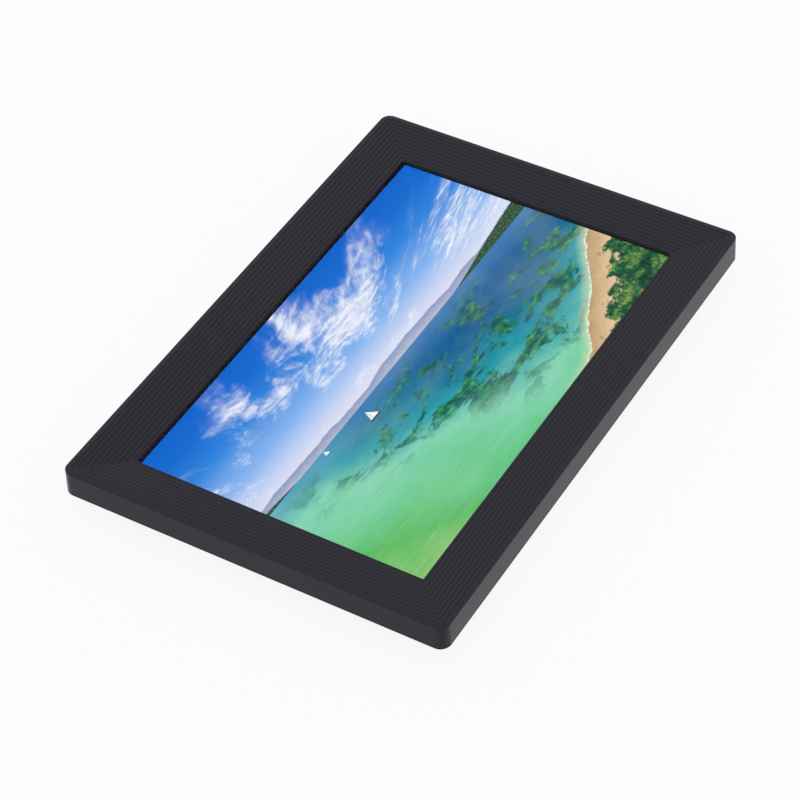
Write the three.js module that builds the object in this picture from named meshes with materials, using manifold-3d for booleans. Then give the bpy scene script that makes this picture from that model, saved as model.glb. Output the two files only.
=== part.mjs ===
// A ten inch digital photo frame lying on its back, with the picture up.
// Millimetres. X runs along the long side, Y towards the top of the picture, Z out of the screen.
// The origin is under the middle of the frame, in the plane of the undersides of its rubber feet.
import * as THREE from "three";
import { mergeVertices } from "three/addons/utils/BufferGeometryUtils.js";
import Module from "manifold-3d";

const wasm = await Module();
wasm.setup();

// Gaps between pieces, and how far a cutter passes the face that it cuts.
const fitGap = 0.3;
const layerGap = 0.05;
const pinGap = 0.15;
const overrun = 1;

// Steps of the round shapes.
const cornerSteps = 5;
const edgeSteps = 3;
const roundSteps = 24;
const smallRoundSteps = 12;
const leadSides = 8;

// The picture and the width of the frame around it.
const pictureWidth = 216.96;
const pictureHeight = 135.6;
const pictureMargin = 23.66;
const outerCornerRadius = 5;
const innerCornerRadius = 0.5;
const frameWidth = pictureWidth + 2 * pictureMargin;
const frameHeight = pictureHeight + 2 * pictureMargin;

// The heights of the casing. Heights in the rim count from its back edge.
const footProud = 1;
const housingDepth = 7.5;
const rimHeight = 12;
const crestHeight = 12.25;
const lipHeight = 8.915;
const housingBackZ = footProud;
const rimBackZ = housingBackZ + housingDepth;

// The front bezel: a dished moulding with flutes that run round it.
const bezelWidth = 22.7;
const bezelWall = 2;
const bezelTopWall = 2;
const bezelEdgeRound = 0.5;
const bezelLipRound = 0.3;
const bezelLipWall = 1.35;
const bezelLipDraft = 0.65;
const bezelLipLand = 0.15;
const bezelBackChamfer = 0.3;
const fluteInset = 3.3;
const flutePitch = 2.011;
const fluteWidth = 0.7;
const fluteDepth = 0.45;
const ridgeCrown = 0.04;

// The pocket in the bezel that holds the glass and the panel.
const glassOverlap = 5.2;
const pocketWall = 1.8;
const panelSetback = 1;
const glassInset = bezelWidth - glassOverlap;
const pocketInset = glassInset - fitGap;
const pocketWallInset = pocketInset - pocketWall;
const panelInset = glassInset + panelSetback;

// The layers behind the bezel's lip, from the front.
const gasketThickness = 0.25;
const glassThickness = 0.5;
const cellThickness = 1.2;
const diffuserThickness = 0.4;
const guideThickness = 1.2;
const reflectorThickness = 0.2;
const trayThickness = 0.4;
const gasketTopZ = rimBackZ + lipHeight - bezelLipWall - layerGap;
const glassTopZ = gasketTopZ - gasketThickness - layerGap;
const cellTopZ = glassTopZ - glassThickness - layerGap;
const diffuserTopZ = cellTopZ - cellThickness - layerGap;
const guideTopZ = diffuserTopZ - diffuserThickness - layerGap;
const reflectorTopZ = guideTopZ - guideThickness - layerGap;
const trayTopZ = reflectorTopZ - reflectorThickness - layerGap;
const trayBackZ = trayTopZ - trayThickness;
const ledStripWidth = 1.6;

// The rear cover: a plate in the rim and a raised housing with a support wall on its inner side.
const coverPlate = 1.8;
const coverInset = bezelWall + fitGap;
const housingSideMargin = 32.14;
const housingEndMargin = 29.46;
const housingWidth = frameWidth - 2 * housingSideMargin;
const housingHeight = frameHeight - 2 * housingEndMargin;
const housingWall = 1.8;
const housingDraft = 3;
const housingCornerRadius = 9;
const housingEdgeRound = 1;
const coverTopZ = rimBackZ + coverPlate;
const housingFloorZ = housingBackZ + housingWall;

// The screws, with bosses for them in the bezel and on the rear cover.
const caseScrewRadius = 1.3;
const caseScrewHeadRadius = 2.5;
const caseScrewHeadHeight = 1;
const caseScrewLength = 7;
const driveRadius = 0.9;
const driveDepth = 0.6;
const caseBossRadius = 3.2;
const caseBossEmbed = 0.4;
const casePadRadius = 4;
const casePadHeight = 0.9;
const caseScrewInset = (bezelWall + pocketWallInset) / 2;
const bossBaseZ = coverTopZ + casePadHeight + fitGap;

// The rubber feet on the housing.
const footRadius = 5;
const footRecess = 0.6;
const footSideInset = 14;
const footEndInset = 13;
const footX = housingWidth / 2 - footSideInset;
const footY = housingHeight / 2 - footEndInset;

// The kickstand, its hinge and its trough in the housing. The leg's tip stands out below the housing.
const hingeY = 12;
const legOverhang = 22;
const legLength = hingeY + housingHeight / 2 + legOverhang;
const legWidth = 58;
const legTipWidth = 44;
const legShoulder = 14;
const legThickness = 2.6;
const legRecess = 0.3;
const legGap = 0.4;
const heelLength = 5;
const stopGap = 0.15;
const standAngleDegrees = 38;
const barrelRadius = 2.3;
const hingePinRadius = 1;
const hingePinGrip = 5;
const hingeCheek = 4;
const troughCeiling = 1.6;
const legPocketDepth = 1.2;
const legPocketRib = 2.4;
const legPocketColumns = 3;
const legPocketRows = 4;
const standFootLength = 5;
const standFootProud = 0.3;
const standTongueLength = 3;
const standTongueThickness = 1;
const standTongueInset = 4;
const standFootCornerRadius = 1.6;
const legBackZ = housingBackZ + legRecess;
const hingeZ = legBackZ + barrelRadius;
const legTopZ = legBackZ + legThickness;
const legTipY = hingeY - legLength;
const troughWidth = legWidth + 2 * legGap;
const standAngle = THREE.MathUtils.degToRad(standAngleDegrees);

// Keyholes, vents and speaker grilles in the housing's back.
const keyholeHeadRadius = 4;
const keyholeNeckRadius = 2;
const keyholeDrop = 7;
const wideKeyholeX = 55;
const wideKeyholeEndInset = 16;
const wideKeyholeY = housingHeight / 2 - wideKeyholeEndInset;
const tallKeyholeSideInset = 18;
const tallKeyholeEndInset = 34;
const tallKeyholeX = housingWidth / 2 - tallKeyholeSideInset;
const tallKeyholeY = housingHeight / 2 - tallKeyholeEndInset;
const ventCount = 13;
const ventPitch = 5;
const ventWidth = 1.6;
const ventLength = 12;
const ventEndInset = 18;
const ventY = housingHeight / 2 - ventEndInset;
const grilleCount = 5;
const grillePitch = 3.2;
const grilleSlotWidth = 1.4;
const grilleSlotLength = 20;

// The speakers, one on each side of the trough.
const speakerWidth = 32;
const speakerHeight = 22;
const speakerDepth = 4.5;
const speakerTroughGap = 2.6;
const speakerEndInset = 22;
const speakerX = troughWidth / 2 + hingeCheek + speakerTroughGap + speakerWidth / 2;
const speakerY = speakerEndInset - housingHeight / 2;
const speakerFlange = 1.2;
const speakerConeRadius = 8;
const speakerConeDepth = 1.5;

// The main board on its standoffs, between the trough, the right speaker and the housing's walls.
const boardTroughGap = 3.6;
const boardSideInset = 4.5;
const boardEndInset = 9;
const boardSpeakerGap = 5;
const boardLeftX = troughWidth / 2 + hingeCheek + boardTroughGap;
const boardRightX = housingWidth / 2 - boardSideInset;
const boardLowY = speakerY + speakerHeight / 2 + boardSpeakerGap;
const boardHighY = housingHeight / 2 - boardEndInset;
const boardThickness = 1.2;
const boardStandoff = 3.4;
const standoffRadius = 2.8;
const boardScrewInset = 4;
const boardScrewRadius = 1;
const boardScrewHeadRadius = 2;
const boardScrewHeadHeight = 1.2;
const boardScrewLength = 4;
const boardBackZ = housingFloorZ + boardStandoff;
const boardTopZ = boardBackZ + boardThickness;

// Parts on the main board. The shares place their middles along its width and its height.
const processorSize = 15;
const processorThickness = 1.3;
const processorShares = [0.496, 0.44];
const memorySize = 9;
const memoryThickness = 1;
const memoryShares = [0.803, 0.44];
const memoryPitch = 13;
const flashWidth = 11.5;
const flashHeight = 13;
const flashSideInset = 13.4;
const flashEndInset = 19.25;
const flashX = boardLeftX + flashSideInset;
const flashY = boardLowY + flashEndInset;
const wifiWidth = 13;
const wifiHeight = 12;
const wifiThickness = 2.2;
const wifiShares = [0.222, 0.818];
const inductorSize = 6;
const inductorThickness = 2.6;
const inductorShares = [0.803, 0.156];
const displaySocketWidth = 20;
const displaySocketHeight = 4.5;
const displaySocketThickness = 1.4;
const displaySocketShares = [0.598, 0.701];
const speakerSocketSize = 4.5;
const speakerSocketThickness = 2.5;
const speakerSocketSideInset = 5;
const speakerSocketEndInset = 12;
const speakerSocketX = boardLeftX + speakerSocketSideInset;
const speakerSocketY = boardLowY + speakerSocketEndInset;
const [processorX, processorY] = placeOnBoard(processorShares);
const [memoryX, memoryY] = placeOnBoard(memoryShares);
const [wifiX, wifiY] = placeOnBoard(wifiShares);
const [inductorX, inductorY] = placeOnBoard(inductorShares);
const [displaySocketX, displaySocketY] = placeOnBoard(displaySocketShares);

// The sockets under the board's right edge.
const usbWidth = 8.94;
const usbThickness = 3.2;
const usbShellWall = 0.4;
const usbLength = 9.5;
const usbEndInset = 36;
const usbY = boardLowY + usbEndInset;
const usbTongueThickness = 0.7;
const usbTongueWidth = 6.7;
const usbMouthDepth = 6;
const cardWidth = 14;
const cardLength = 15;
const cardThickness = 1.5;
const cardMouthWidth = 11.4;
const cardMouthThickness = 0.9;
const cardMouthDepth = 11;
const cardEndInset = 16;
const cardY = boardLowY + cardEndInset;

// The power button in the housing's upper wall, and its switch under the board.
const buttonSideInset = 34;
const buttonX = housingWidth / 2 - buttonSideInset;
const buttonWidth = 10;
const buttonThickness = 2.6;
const buttonProud = 0.9;
const buttonFlange = 1.2;
const buttonFlangeThickness = 0.8;
const buttonTravel = 0.4;
const buttonCornerRadius = 1.2;
const switchWidth = 6;
const switchLength = 3.6;
const switchThickness = 3;
const plungerRadius = 0.9;
const plungerLength = 2.4;

// The ribbons and leads, and the thin board on the back of the panel.
const panelBoardWidth = 110;
const panelBoardHeight = 9;
const panelBoardThickness = 0.8;
const panelBoardShift = 42;
const panelBoardEndInset = 39.46;
const panelBoardX = displaySocketX - panelBoardShift;
const panelBoardY = frameHeight / 2 - panelBoardEndInset;
const ribbonThickness = 0.2;
const ribbonWidth = 16;
const ribbonBendSteps = 8;
const touchRibbonWidth = 10;
const touchRibbonEndInset = 61.46;
const touchRibbonY = frameHeight / 2 - touchRibbonEndInset;
const touchRibbonReach = 24;
const touchSocketThickness = 1.2;
const touchSocketLength = 4;
const antennaLength = 30;
const antennaWidth = 6;
const antennaThickness = 0.4;
const antennaSideInset = 28;
const antennaEndInset = 9;
const antennaX = antennaSideInset - housingWidth / 2;
const antennaY = housingHeight / 2 - antennaEndInset;
const leadRadius = 0.6;
const leadRise = 0.6;
const leadClear = 3;
const leadSteps = 24;

const finishes = {
  casing: { color: 0x36363b, roughness: 0.55, metalness: 0 },
  cover: { color: 0x2f2f33, roughness: 0.6, metalness: 0 },
  stand: { color: 0x323237, roughness: 0.5, metalness: 0 },
  button: { color: 0x26262a, roughness: 0.4, metalness: 0 },
  rubber: { color: 0x1b1b1d, roughness: 0.85, metalness: 0 },
  foam: { color: 0x141416, roughness: 0.95, metalness: 0 },
  glass: { color: 0x10141a, roughness: 0.05, metalness: 0 },
  screen: { color: 0x1f74d6, roughness: 0.2, metalness: 0 },
  film: { color: 0xf1f2f4, roughness: 0.5, metalness: 0 },
  acrylic: { color: 0xdfeaf2, roughness: 0.1, metalness: 0 },
  steel: { color: 0x9a9da1, roughness: 0.35, metalness: 1 },
  board: { color: 0x1e5a38, roughness: 0.5, metalness: 0 },
  chip: { color: 0x1a1b1d, roughness: 0.45, metalness: 0 },
  socket: { color: 0xe6e1d4, roughness: 0.6, metalness: 0 },
  ribbon: { color: 0xb9772c, roughness: 0.45, metalness: 0 },
  lead: { color: 0x202024, roughness: 0.6, metalness: 0 },
};

function placeOnBoard([widthShare, heightShare]) {
  const x = boardLeftX + (boardRightX - boardLeftX) * widthShare;
  const y = boardLowY + (boardHighY - boardLowY) * heightShare;
  return [x, y];
}

// Solids, and the geometry that three.js shows.

function solidOf(geometry) {
  const plain = geometry.clone();
  plain.deleteAttribute("normal");
  plain.deleteAttribute("uv");
  const merged = mergeVertices(plain);
  const vertProperties = merged.attributes.position.array;
  const triVerts = new Uint32Array(merged.index.array);
  return new wasm.Manifold(new wasm.Mesh({ numProp: 3, vertProperties, triVerts }));
}

function geometryOf(solid) {
  const { numProp, vertProperties, triVerts } = solid.getMesh();
  const geometry = new THREE.BufferGeometry();
  geometry.setAttribute("position", new THREE.BufferAttribute(vertProperties, numProp));
  geometry.setIndex(new THREE.BufferAttribute(triVerts, 1));
  geometry.computeVertexNormals();
  return geometry;
}

function facesSolid(points, faces) {
  const geometry = new THREE.BufferGeometry();
  geometry.setAttribute("position", new THREE.Float32BufferAttribute(points, 3));
  geometry.setIndex(faces);
  return solidOf(geometry);
}

function boxSolid([lowX, highX], [lowY, highY], [lowZ, highZ]) {
  const geometry = new THREE.BoxGeometry(highX - lowX, highY - lowY, highZ - lowZ);
  return solidOf(geometry.translate((lowX + highX) / 2, (lowY + highY) / 2, (lowZ + highZ) / 2));
}

function span(middle, size) {
  return [middle - size / 2, middle + size / 2];
}

// A round bar along Z, from one height to another.
function barAlongZ(x, y, radius, [lowZ, highZ], steps = roundSteps) {
  const geometry = new THREE.CylinderGeometry(radius, radius, highZ - lowZ, steps);
  return solidOf(geometry.rotateX(Math.PI / 2).translate(x, y, (lowZ + highZ) / 2));
}

function barAlongY(x, z, radius, [lowY, highY], steps = smallRoundSteps) {
  const geometry = new THREE.CylinderGeometry(radius, radius, highY - lowY, steps);
  return solidOf(geometry.translate(x, (lowY + highY) / 2, z));
}

function barAlongX(y, z, radius, [lowX, highX], steps = roundSteps) {
  const geometry = new THREE.CylinderGeometry(radius, radius, highX - lowX, steps);
  return solidOf(geometry.rotateZ(Math.PI / 2).translate((lowX + highX) / 2, y, z));
}

// The corner points of a rectangle with round corners, anticlockwise from above.
function roundedOutline(width, height, radius) {
  const points = [];
  for (let corner = 0; corner < 4; corner++) {
    const signX = corner === 0 || corner === 3 ? 1 : -1;
    const signY = corner < 2 ? 1 : -1;
    for (let step = 0; step <= cornerSteps; step++) {
      const angle = (corner + step / cornerSteps) * (Math.PI / 2);
      const x = signX * (width / 2 - radius) + radius * Math.cos(angle);
      const y = signY * (height / 2 - radius) + radius * Math.sin(angle);
      points.push([x, y]);
    }
  }
  return points;
}

// The frame's outline drawn in by an inset.
function frameOutline(inset) {
  const radius = Math.max(outerCornerRadius - inset, innerCornerRadius);
  return roundedOutline(frameWidth - 2 * inset, frameHeight - 2 * inset, radius);
}

function joinLoops(faces, first, second, count) {
  for (let i = 0; i < count; i++) {
    const next = (i + 1) % count;
    faces.push(first + i, first + next, second + next);
    faces.push(first + i, second + next, second + i);
  }
}

// A closed ring whose profile of [inset, z] goes up outside, in over the top, and back below.
function ringSolid(profile) {
  const points = [];
  const faces = [];
  const loops = profile.map(([inset, z]) => frameOutline(inset).map(([x, y]) => [x, y, z]));
  const count = loops[0].length;
  loops.forEach((loop) => points.push(...loop.flat()));
  loops.forEach((loop, i) => joinLoops(faces, i * count, ((i + 1) % loops.length) * count, count));
  return facesSolid(points, faces);
}

// A closed solid through convex outlines of equal counts, from the lowest up.
function loftSolid(layers) {
  const points = [];
  const faces = [];
  const count = layers[0].outline.length;
  const top = (layers.length - 1) * count;
  layers.forEach(({ outline, z }) => outline.forEach(([x, y]) => points.push(x, y, z)));
  for (let layer = 1; layer < layers.length; layer++) {
    joinLoops(faces, (layer - 1) * count, layer * count, count);
  }
  for (let i = 2; i < count; i++) {
    faces.push(0, i, i - 1);
    faces.push(top, top + i - 1, top + i);
  }
  return facesSolid(points, faces);
}

function slabSolid(outline, [lowZ, highZ]) {
  return loftSolid([{ outline, z: lowZ }, { outline, z: highZ }]);
}

// A rounded bar of rectangular section that lies along Y.
function roundedBarAlongY(x, z, width, thickness, radius, [lowY, highY]) {
  const outline = roundedOutline(width, thickness, radius);
  const shape = new THREE.Shape(outline.map(([u, v]) => new THREE.Vector2(u, v)));
  const geometry = new THREE.ExtrudeGeometry(shape, { depth: highY - lowY, bevelEnabled: false });
  return solidOf(geometry.rotateX(Math.PI / 2).translate(x, highY, z));
}

function joined(solids) {
  return solids.reduce((whole, solid) => whole.add(solid));
}

function cutBy(solid, cutters) {
  return cutters.reduce((whole, cutter) => whole.subtract(cutter), solid);
}

// The bezel.

function bezelSurface(inset) {
  const slope = (crestHeight - lipHeight) / (bezelWidth - fluteInset);
  return rimBackZ + crestHeight - (inset - fluteInset) * slope;
}

function bezelUnderside(inset) {
  const outerZ = rimBackZ + rimHeight - bezelTopWall;
  const innerZ = bezelSurface(pocketWallInset) - bezelTopWall;
  const share = (inset - bezelWall) / (pocketWallInset - bezelWall);
  return outerZ + (innerZ - outerZ) * share;
}

function bezelEdgeProfile() {
  const points = [];
  const centreZ = rimBackZ + rimHeight - bezelEdgeRound;
  for (let step = 0; step <= edgeSteps; step++) {
    const angle = (step / edgeSteps) * (Math.PI / 2);
    const inset = bezelEdgeRound * (1 - Math.cos(angle));
    points.push([inset, centreZ + bezelEdgeRound * Math.sin(angle)]);
  }
  return points;
}

function fluteProfile() {
  const points = [];
  const room = bezelWidth - bezelLipRound - fluteWidth / 2 - fluteInset;
  const fluteCount = Math.floor(room / flutePitch) + 1;
  for (let flute = 0; flute < fluteCount; flute++) {
    const middle = fluteInset + flute * flutePitch;
    const ridge = middle + flutePitch / 2;
    points.push([middle - fluteWidth / 2, bezelSurface(middle - fluteWidth / 2)]);
    points.push([middle, bezelSurface(middle) - fluteDepth]);
    points.push([middle + fluteWidth / 2, bezelSurface(middle + fluteWidth / 2)]);
    if (flute < fluteCount - 1) points.push([ridge, bezelSurface(ridge) + ridgeCrown]);
  }
  return points;
}

function bezelProfile() {
  const lipBackZ = rimBackZ + lipHeight - bezelLipWall;
  const lipInset = bezelWidth + bezelLipDraft;
  const pocketWallBackZ = coverTopZ + fitGap;
  return [
    [bezelBackChamfer, rimBackZ],
    [0, rimBackZ + bezelBackChamfer],
    ...bezelEdgeProfile(),
    ...fluteProfile(),
    [bezelWidth - bezelLipRound, bezelSurface(bezelWidth - bezelLipRound)],
    [bezelWidth, bezelSurface(bezelWidth) - bezelLipRound],
    [lipInset, lipBackZ + bezelLipLand],
    [lipInset, lipBackZ],
    [pocketInset, lipBackZ],
    [pocketInset, pocketWallBackZ],
    [pocketWallInset, pocketWallBackZ],
    [pocketWallInset, bezelUnderside(pocketWallInset)],
    [bezelWall, bezelUnderside(bezelWall)],
    [bezelWall, rimBackZ],
  ];
}

// The places of the screws that hold the rear cover: four corners and the middles of the long sides.
function caseScrewPlaces() {
  const x = frameWidth / 2 - caseScrewInset;
  const y = frameHeight / 2 - caseScrewInset;
  return [[-x, -y], [0, -y], [x, -y], [x, y], [0, y], [-x, y]];
}

function frontBezel() {
  const bossTopZ = bezelUnderside(caseScrewInset - caseBossRadius) + caseBossEmbed;
  const pilotTopZ = rimBackZ + caseScrewHeadHeight + caseScrewLength + fitGap;
  const places = caseScrewPlaces();
  const bosses = places.map(([x, y]) => barAlongZ(x, y, caseBossRadius, [bossBaseZ, bossTopZ]));
  const pilotRadius = caseScrewRadius + pinGap;
  const pilotSpan = [bossBaseZ - overrun, Math.min(pilotTopZ, bossTopZ - caseBossEmbed)];
  const pilots = places.map(([x, y]) => barAlongZ(x, y, pilotRadius, pilotSpan, smallRoundSteps));
  const notch = boxSolid(
    [frameWidth / 2 - pocketInset - overrun, frameWidth / 2 - pocketWallInset + overrun],
    span(touchRibbonY, touchRibbonWidth + 2 * fitGap),
    [coverTopZ, trayTopZ],
  );
  return cutBy(joined([ringSolid(bezelProfile()), ...bosses]), [...pilots, notch]);
}

// The glass, the panel and its backlight.

function ledSpanY(inset) {
  const low = -frameHeight / 2 + inset + trayThickness + fitGap;
  return [low, low + ledStripWidth];
}

function dustGasket() {
  const bottomZ = gasketTopZ - gasketThickness;
  return ringSolid([
    [glassInset, bottomZ],
    [glassInset, gasketTopZ],
    [bezelWidth, gasketTopZ],
    [bezelWidth, bottomZ],
  ]);
}

function panelTray() {
  const wallTopZ = diffuserTopZ;
  const outer = slabSolid(frameOutline(panelInset), [trayBackZ, wallTopZ]);
  const hollow = slabSolid(frameOutline(panelInset + trayThickness), [trayTopZ, wallTopZ + overrun]);
  return outer.subtract(hollow);
}

// A sheet inside the tray, with room for the light strip along its lower side if asked.
function traySheet(topZ, thickness, besideLights) {
  const inset = panelInset + trayThickness + fitGap;
  const lowY = besideLights ? ledSpanY(panelInset)[1] + fitGap : -frameHeight / 2 + inset;
  return boxSolid(
    span(0, frameWidth - 2 * inset),
    [lowY, frameHeight / 2 - inset],
    [topZ - thickness, topZ],
  );
}

function ledStrip() {
  const length = frameWidth - 2 * (panelInset + trayThickness + fitGap);
  return boxSolid(span(0, length), ledSpanY(panelInset), [guideTopZ - guideThickness, guideTopZ]);
}

// The rear cover.

// How far a side of the housing is drawn in at a height, on a face whose lowest height is given.
function housingDrawIn(z, lowestZ) {
  const edgeZ = lowestZ + housingEdgeRound;
  const slope = housingDraft / (rimBackZ - housingBackZ - housingEdgeRound);
  const draft = slope * Math.max(rimBackZ - Math.max(z, edgeZ), 0);
  return draft + Math.max(edgeZ - z, 0);
}

// The housing's outer form, or its hollow where an inset is given.
function housingLoft(inset, [lowestZ, topZ]) {
  const layers = [lowestZ, lowestZ + housingEdgeRound, rimBackZ, topZ].map((z) => {
    const drawIn = inset + housingDrawIn(z, lowestZ);
    const outline = roundedOutline(
      housingWidth - 2 * drawIn,
      housingHeight - 2 * drawIn,
      housingCornerRadius - inset,
    );
    return { outline, z };
  });
  return loftSolid(layers);
}

function heelSwing() {
  const top = legTopZ - hingeZ;
  return heelLength * Math.sin(standAngle) + top * Math.cos(standAngle);
}

function hingePocket() {
  const ceilingZ = hingeZ + Math.max(heelSwing(), barrelRadius) + stopGap;
  const reach = Math.hypot(heelLength, barrelRadius) + legGap;
  return { ceilingZ, spanY: [hingeY - barrelRadius - legGap, hingeY + reach] };
}

function troughBlock() {
  const pocket = hingePocket();
  const width = troughWidth + 2 * hingeCheek;
  const lowY = -housingHeight / 2 + housingWall;
  const leg = boxSolid(
    span(0, width),
    [lowY, pocket.spanY[1]],
    [housingBackZ, legTopZ + legGap + troughCeiling],
  );
  const hinge = boxSolid(
    span(0, width),
    [pocket.spanY[0] - troughCeiling, pocket.spanY[1] + troughCeiling],
    [housingBackZ, pocket.ceilingZ + troughCeiling],
  );
  return leg.add(hinge);
}

function troughCutters() {
  const pocket = hingePocket();
  const backZ = housingBackZ - overrun;
  const leg = boxSolid(
    span(0, troughWidth),
    [-housingHeight / 2 - overrun, pocket.spanY[1]],
    [backZ, legTopZ + legGap],
  );
  const hinge = boxSolid(span(0, troughWidth), pocket.spanY, [backZ, pocket.ceilingZ]);
  const boreEnd = legWidth / 2 + legGap + hingeCheek / 2 + fitGap;
  const bore = barAlongX(hingeY, hingeZ, hingePinRadius + pinGap, [-boreEnd, boreEnd]);
  return [leg, hinge, bore];
}

// A keyhole: a round mouth for a screw's head, and a neck that runs from it along a direction.
function keyholeCutter(x, y, directionX, directionY) {
  const spanZ = [housingBackZ - overrun, housingFloorZ + overrun];
  const endX = x + directionX * keyholeDrop;
  const endY = y + directionY * keyholeDrop;
  const neckSize = 2 * keyholeNeckRadius;
  const neck = boxSolid(
    span((x + endX) / 2, Math.abs(endX - x) || neckSize),
    span((y + endY) / 2, Math.abs(endY - y) || neckSize),
    spanZ,
  );
  const mouth = barAlongZ(x, y, keyholeHeadRadius, spanZ);
  const end = barAlongZ(endX, endY, keyholeNeckRadius, spanZ, smallRoundSteps);
  return joined([mouth, neck, end]);
}

function keyholeCutters() {
  return [
    keyholeCutter(-wideKeyholeX, wideKeyholeY, 0, 1),
    keyholeCutter(wideKeyholeX, wideKeyholeY, 0, 1),
    keyholeCutter(-tallKeyholeX, -tallKeyholeY, -1, 0),
    keyholeCutter(-tallKeyholeX, tallKeyholeY, -1, 0),
  ];
}

function slotRow(count, pitch, slotAt) {
  const slots = [];
  for (let i = 0; i < count; i++) slots.push(slotAt((i - (count - 1) / 2) * pitch));
  return slots;
}

function ventCutters() {
  const spanZ = [housingBackZ - overrun, housingFloorZ + overrun];
  const vents = slotRow(ventCount, ventPitch, (offset) =>
    boxSolid(span(offset, ventWidth), span(ventY, ventLength), spanZ),
  );
  const grilles = [-speakerX, speakerX].flatMap((x) =>
    slotRow(grilleCount, grillePitch, (offset) =>
      boxSolid(span(x, grilleSlotLength), span(speakerY + offset, grilleSlotWidth), spanZ),
    ),
  );
  return [...vents, ...grilles];
}

function boardScrewPlaces() {
  const xs = [boardLeftX + boardScrewInset, boardRightX - boardScrewInset];
  const ys = [boardLowY + boardScrewInset, boardHighY - boardScrewInset];
  return xs.flatMap((x) => ys.map((y) => [x, y]));
}

function standoffs() {
  const topZ = boardBackZ - layerGap;
  return boardScrewPlaces().map(([x, y]) =>
    barAlongZ(x, y, standoffRadius, [housingFloorZ - layerGap, topZ], smallRoundSteps),
  );
}

function boardPilots() {
  const radius = boardScrewRadius + pinGap;
  const lowZ = boardTopZ - boardScrewLength - fitGap;
  return boardScrewPlaces().map(([x, y]) =>
    barAlongZ(x, y, radius, [lowZ, boardTopZ], smallRoundSteps),
  );
}

function caseScrewPads() {
  return caseScrewPlaces().map(([x, y]) =>
    barAlongZ(x, y, casePadRadius, [rimBackZ, coverTopZ + casePadHeight]),
  );
}

function caseScrewHoles() {
  const headRadius = caseScrewHeadRadius + fitGap;
  const shankRadius = caseScrewRadius + fitGap;
  const headTopZ = rimBackZ + caseScrewHeadHeight + layerGap;
  return caseScrewPlaces().flatMap(([x, y]) => [
    barAlongZ(x, y, headRadius, [rimBackZ - overrun, headTopZ]),
    barAlongZ(x, y, shankRadius, [rimBackZ, bossBaseZ + overrun], smallRoundSteps),
  ]);
}

function footPlaces() {
  return [[-footX, -footY], [footX, -footY], [footX, footY], [-footX, footY]];
}

function footRecesses() {
  const spanZ = [housingBackZ - overrun, housingBackZ + footRecess + layerGap];
  return footPlaces().map(([x, y]) => barAlongZ(x, y, footRadius + fitGap, spanZ));
}

const usbZ = boardBackZ - layerGap - usbThickness / 2;
const cardZ = boardBackZ - layerGap - cardThickness / 2;
const buttonZ = boardBackZ - layerGap - switchThickness / 2;

function portCutters() {
  const spanX = [boardRightX - overrun, housingWidth / 2 + overrun];
  const usb = boxSolid(
    spanX,
    span(usbY, usbWidth + 2 * fitGap),
    span(usbZ, usbThickness + 2 * fitGap),
  );
  const card = boxSolid(
    spanX,
    span(cardY, cardMouthWidth + 2 * fitGap),
    span(cardZ, cardMouthThickness + 2 * fitGap),
  );
  const button = roundedBarAlongY(
    buttonX,
    buttonZ,
    buttonWidth + 2 * fitGap,
    buttonThickness + 2 * fitGap,
    buttonCornerRadius + fitGap,
    [boardHighY, housingHeight / 2 + overrun],
  );
  return [usb, card, button];
}

// A dip in the support wall where the touch ribbon crosses it.
function ribbonNotch() {
  const depth = ribbonThickness + 2 * fitGap;
  return boxSolid(
    [housingWidth / 2 - housingWall - overrun, housingWidth / 2 + overrun],
    span(touchRibbonY, touchRibbonWidth + 2 * fitGap),
    [trayBackZ - depth, trayBackZ],
  );
}

function rearCover() {
  const plate = slabSolid(frameOutline(coverInset), [rimBackZ, coverTopZ]);
  const shell = housingLoft(0, [housingBackZ, trayBackZ - layerGap]);
  const hollow = housingLoft(housingWall, [housingFloorZ, trayBackZ + overrun]);
  const casing = joined([plate, shell, ...caseScrewPads()]).subtract(hollow);
  const fitted = joined([casing, troughBlock(), ...standoffs()]);
  return cutBy(fitted, [
    ...troughCutters(),
    ...keyholeCutters(),
    ...ventCutters(),
    ...boardPilots(),
    ...caseScrewHoles(),
    ...footRecesses(),
    ...portCutters(),
    ribbonNotch(),
  ]);
}

// The kickstand.

function legOutline() {
  const half = legWidth / 2;
  const tipHalf = legTipWidth / 2;
  const topY = hingeY + heelLength;
  const bodyTipY = legTipY + standFootLength;
  const shape = new THREE.Shape();
  shape.moveTo(-half, topY);
  shape.lineTo(-half, hingeY - legShoulder);
  shape.lineTo(-tipHalf, bodyTipY);
  shape.lineTo(tipHalf, bodyTipY);
  shape.lineTo(half, hingeY - legShoulder);
  shape.lineTo(half, topY);
  return shape;
}

// The hollows on the inner side of the leg, between its ribs.
function legPockets() {
  const highY = hingeY - barrelRadius - legPocketRib;
  const lowY = legTipY + standFootLength + legPocketRib;
  const width = legTipWidth - 2 * legPocketRib;
  const cellX = (width - (legPocketColumns - 1) * legPocketRib) / legPocketColumns;
  const cellY = (highY - lowY - (legPocketRows - 1) * legPocketRib) / legPocketRows;
  const pockets = [];
  for (let column = 0; column < legPocketColumns; column++) {
    for (let row = 0; row < legPocketRows; row++) {
      const x = -width / 2 + column * (cellX + legPocketRib);
      const y = lowY + row * (cellY + legPocketRib);
      const spanZ = [legTopZ - legPocketDepth, legTopZ + overrun];
      pockets.push(boxSolid([x, x + cellX], [y, y + cellY], spanZ));
    }
  }
  return pockets;
}

function standTongue(gap) {
  const tongueY = [legTipY + standFootLength - standTongueLength - gap, legTipY + standFootLength];
  const width = legTipWidth - 2 * standTongueInset + 2 * gap;
  const middleZ = legBackZ + legThickness / 2;
  return boxSolid(span(0, width), tongueY, span(middleZ, standTongueThickness + 2 * gap));
}

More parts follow.
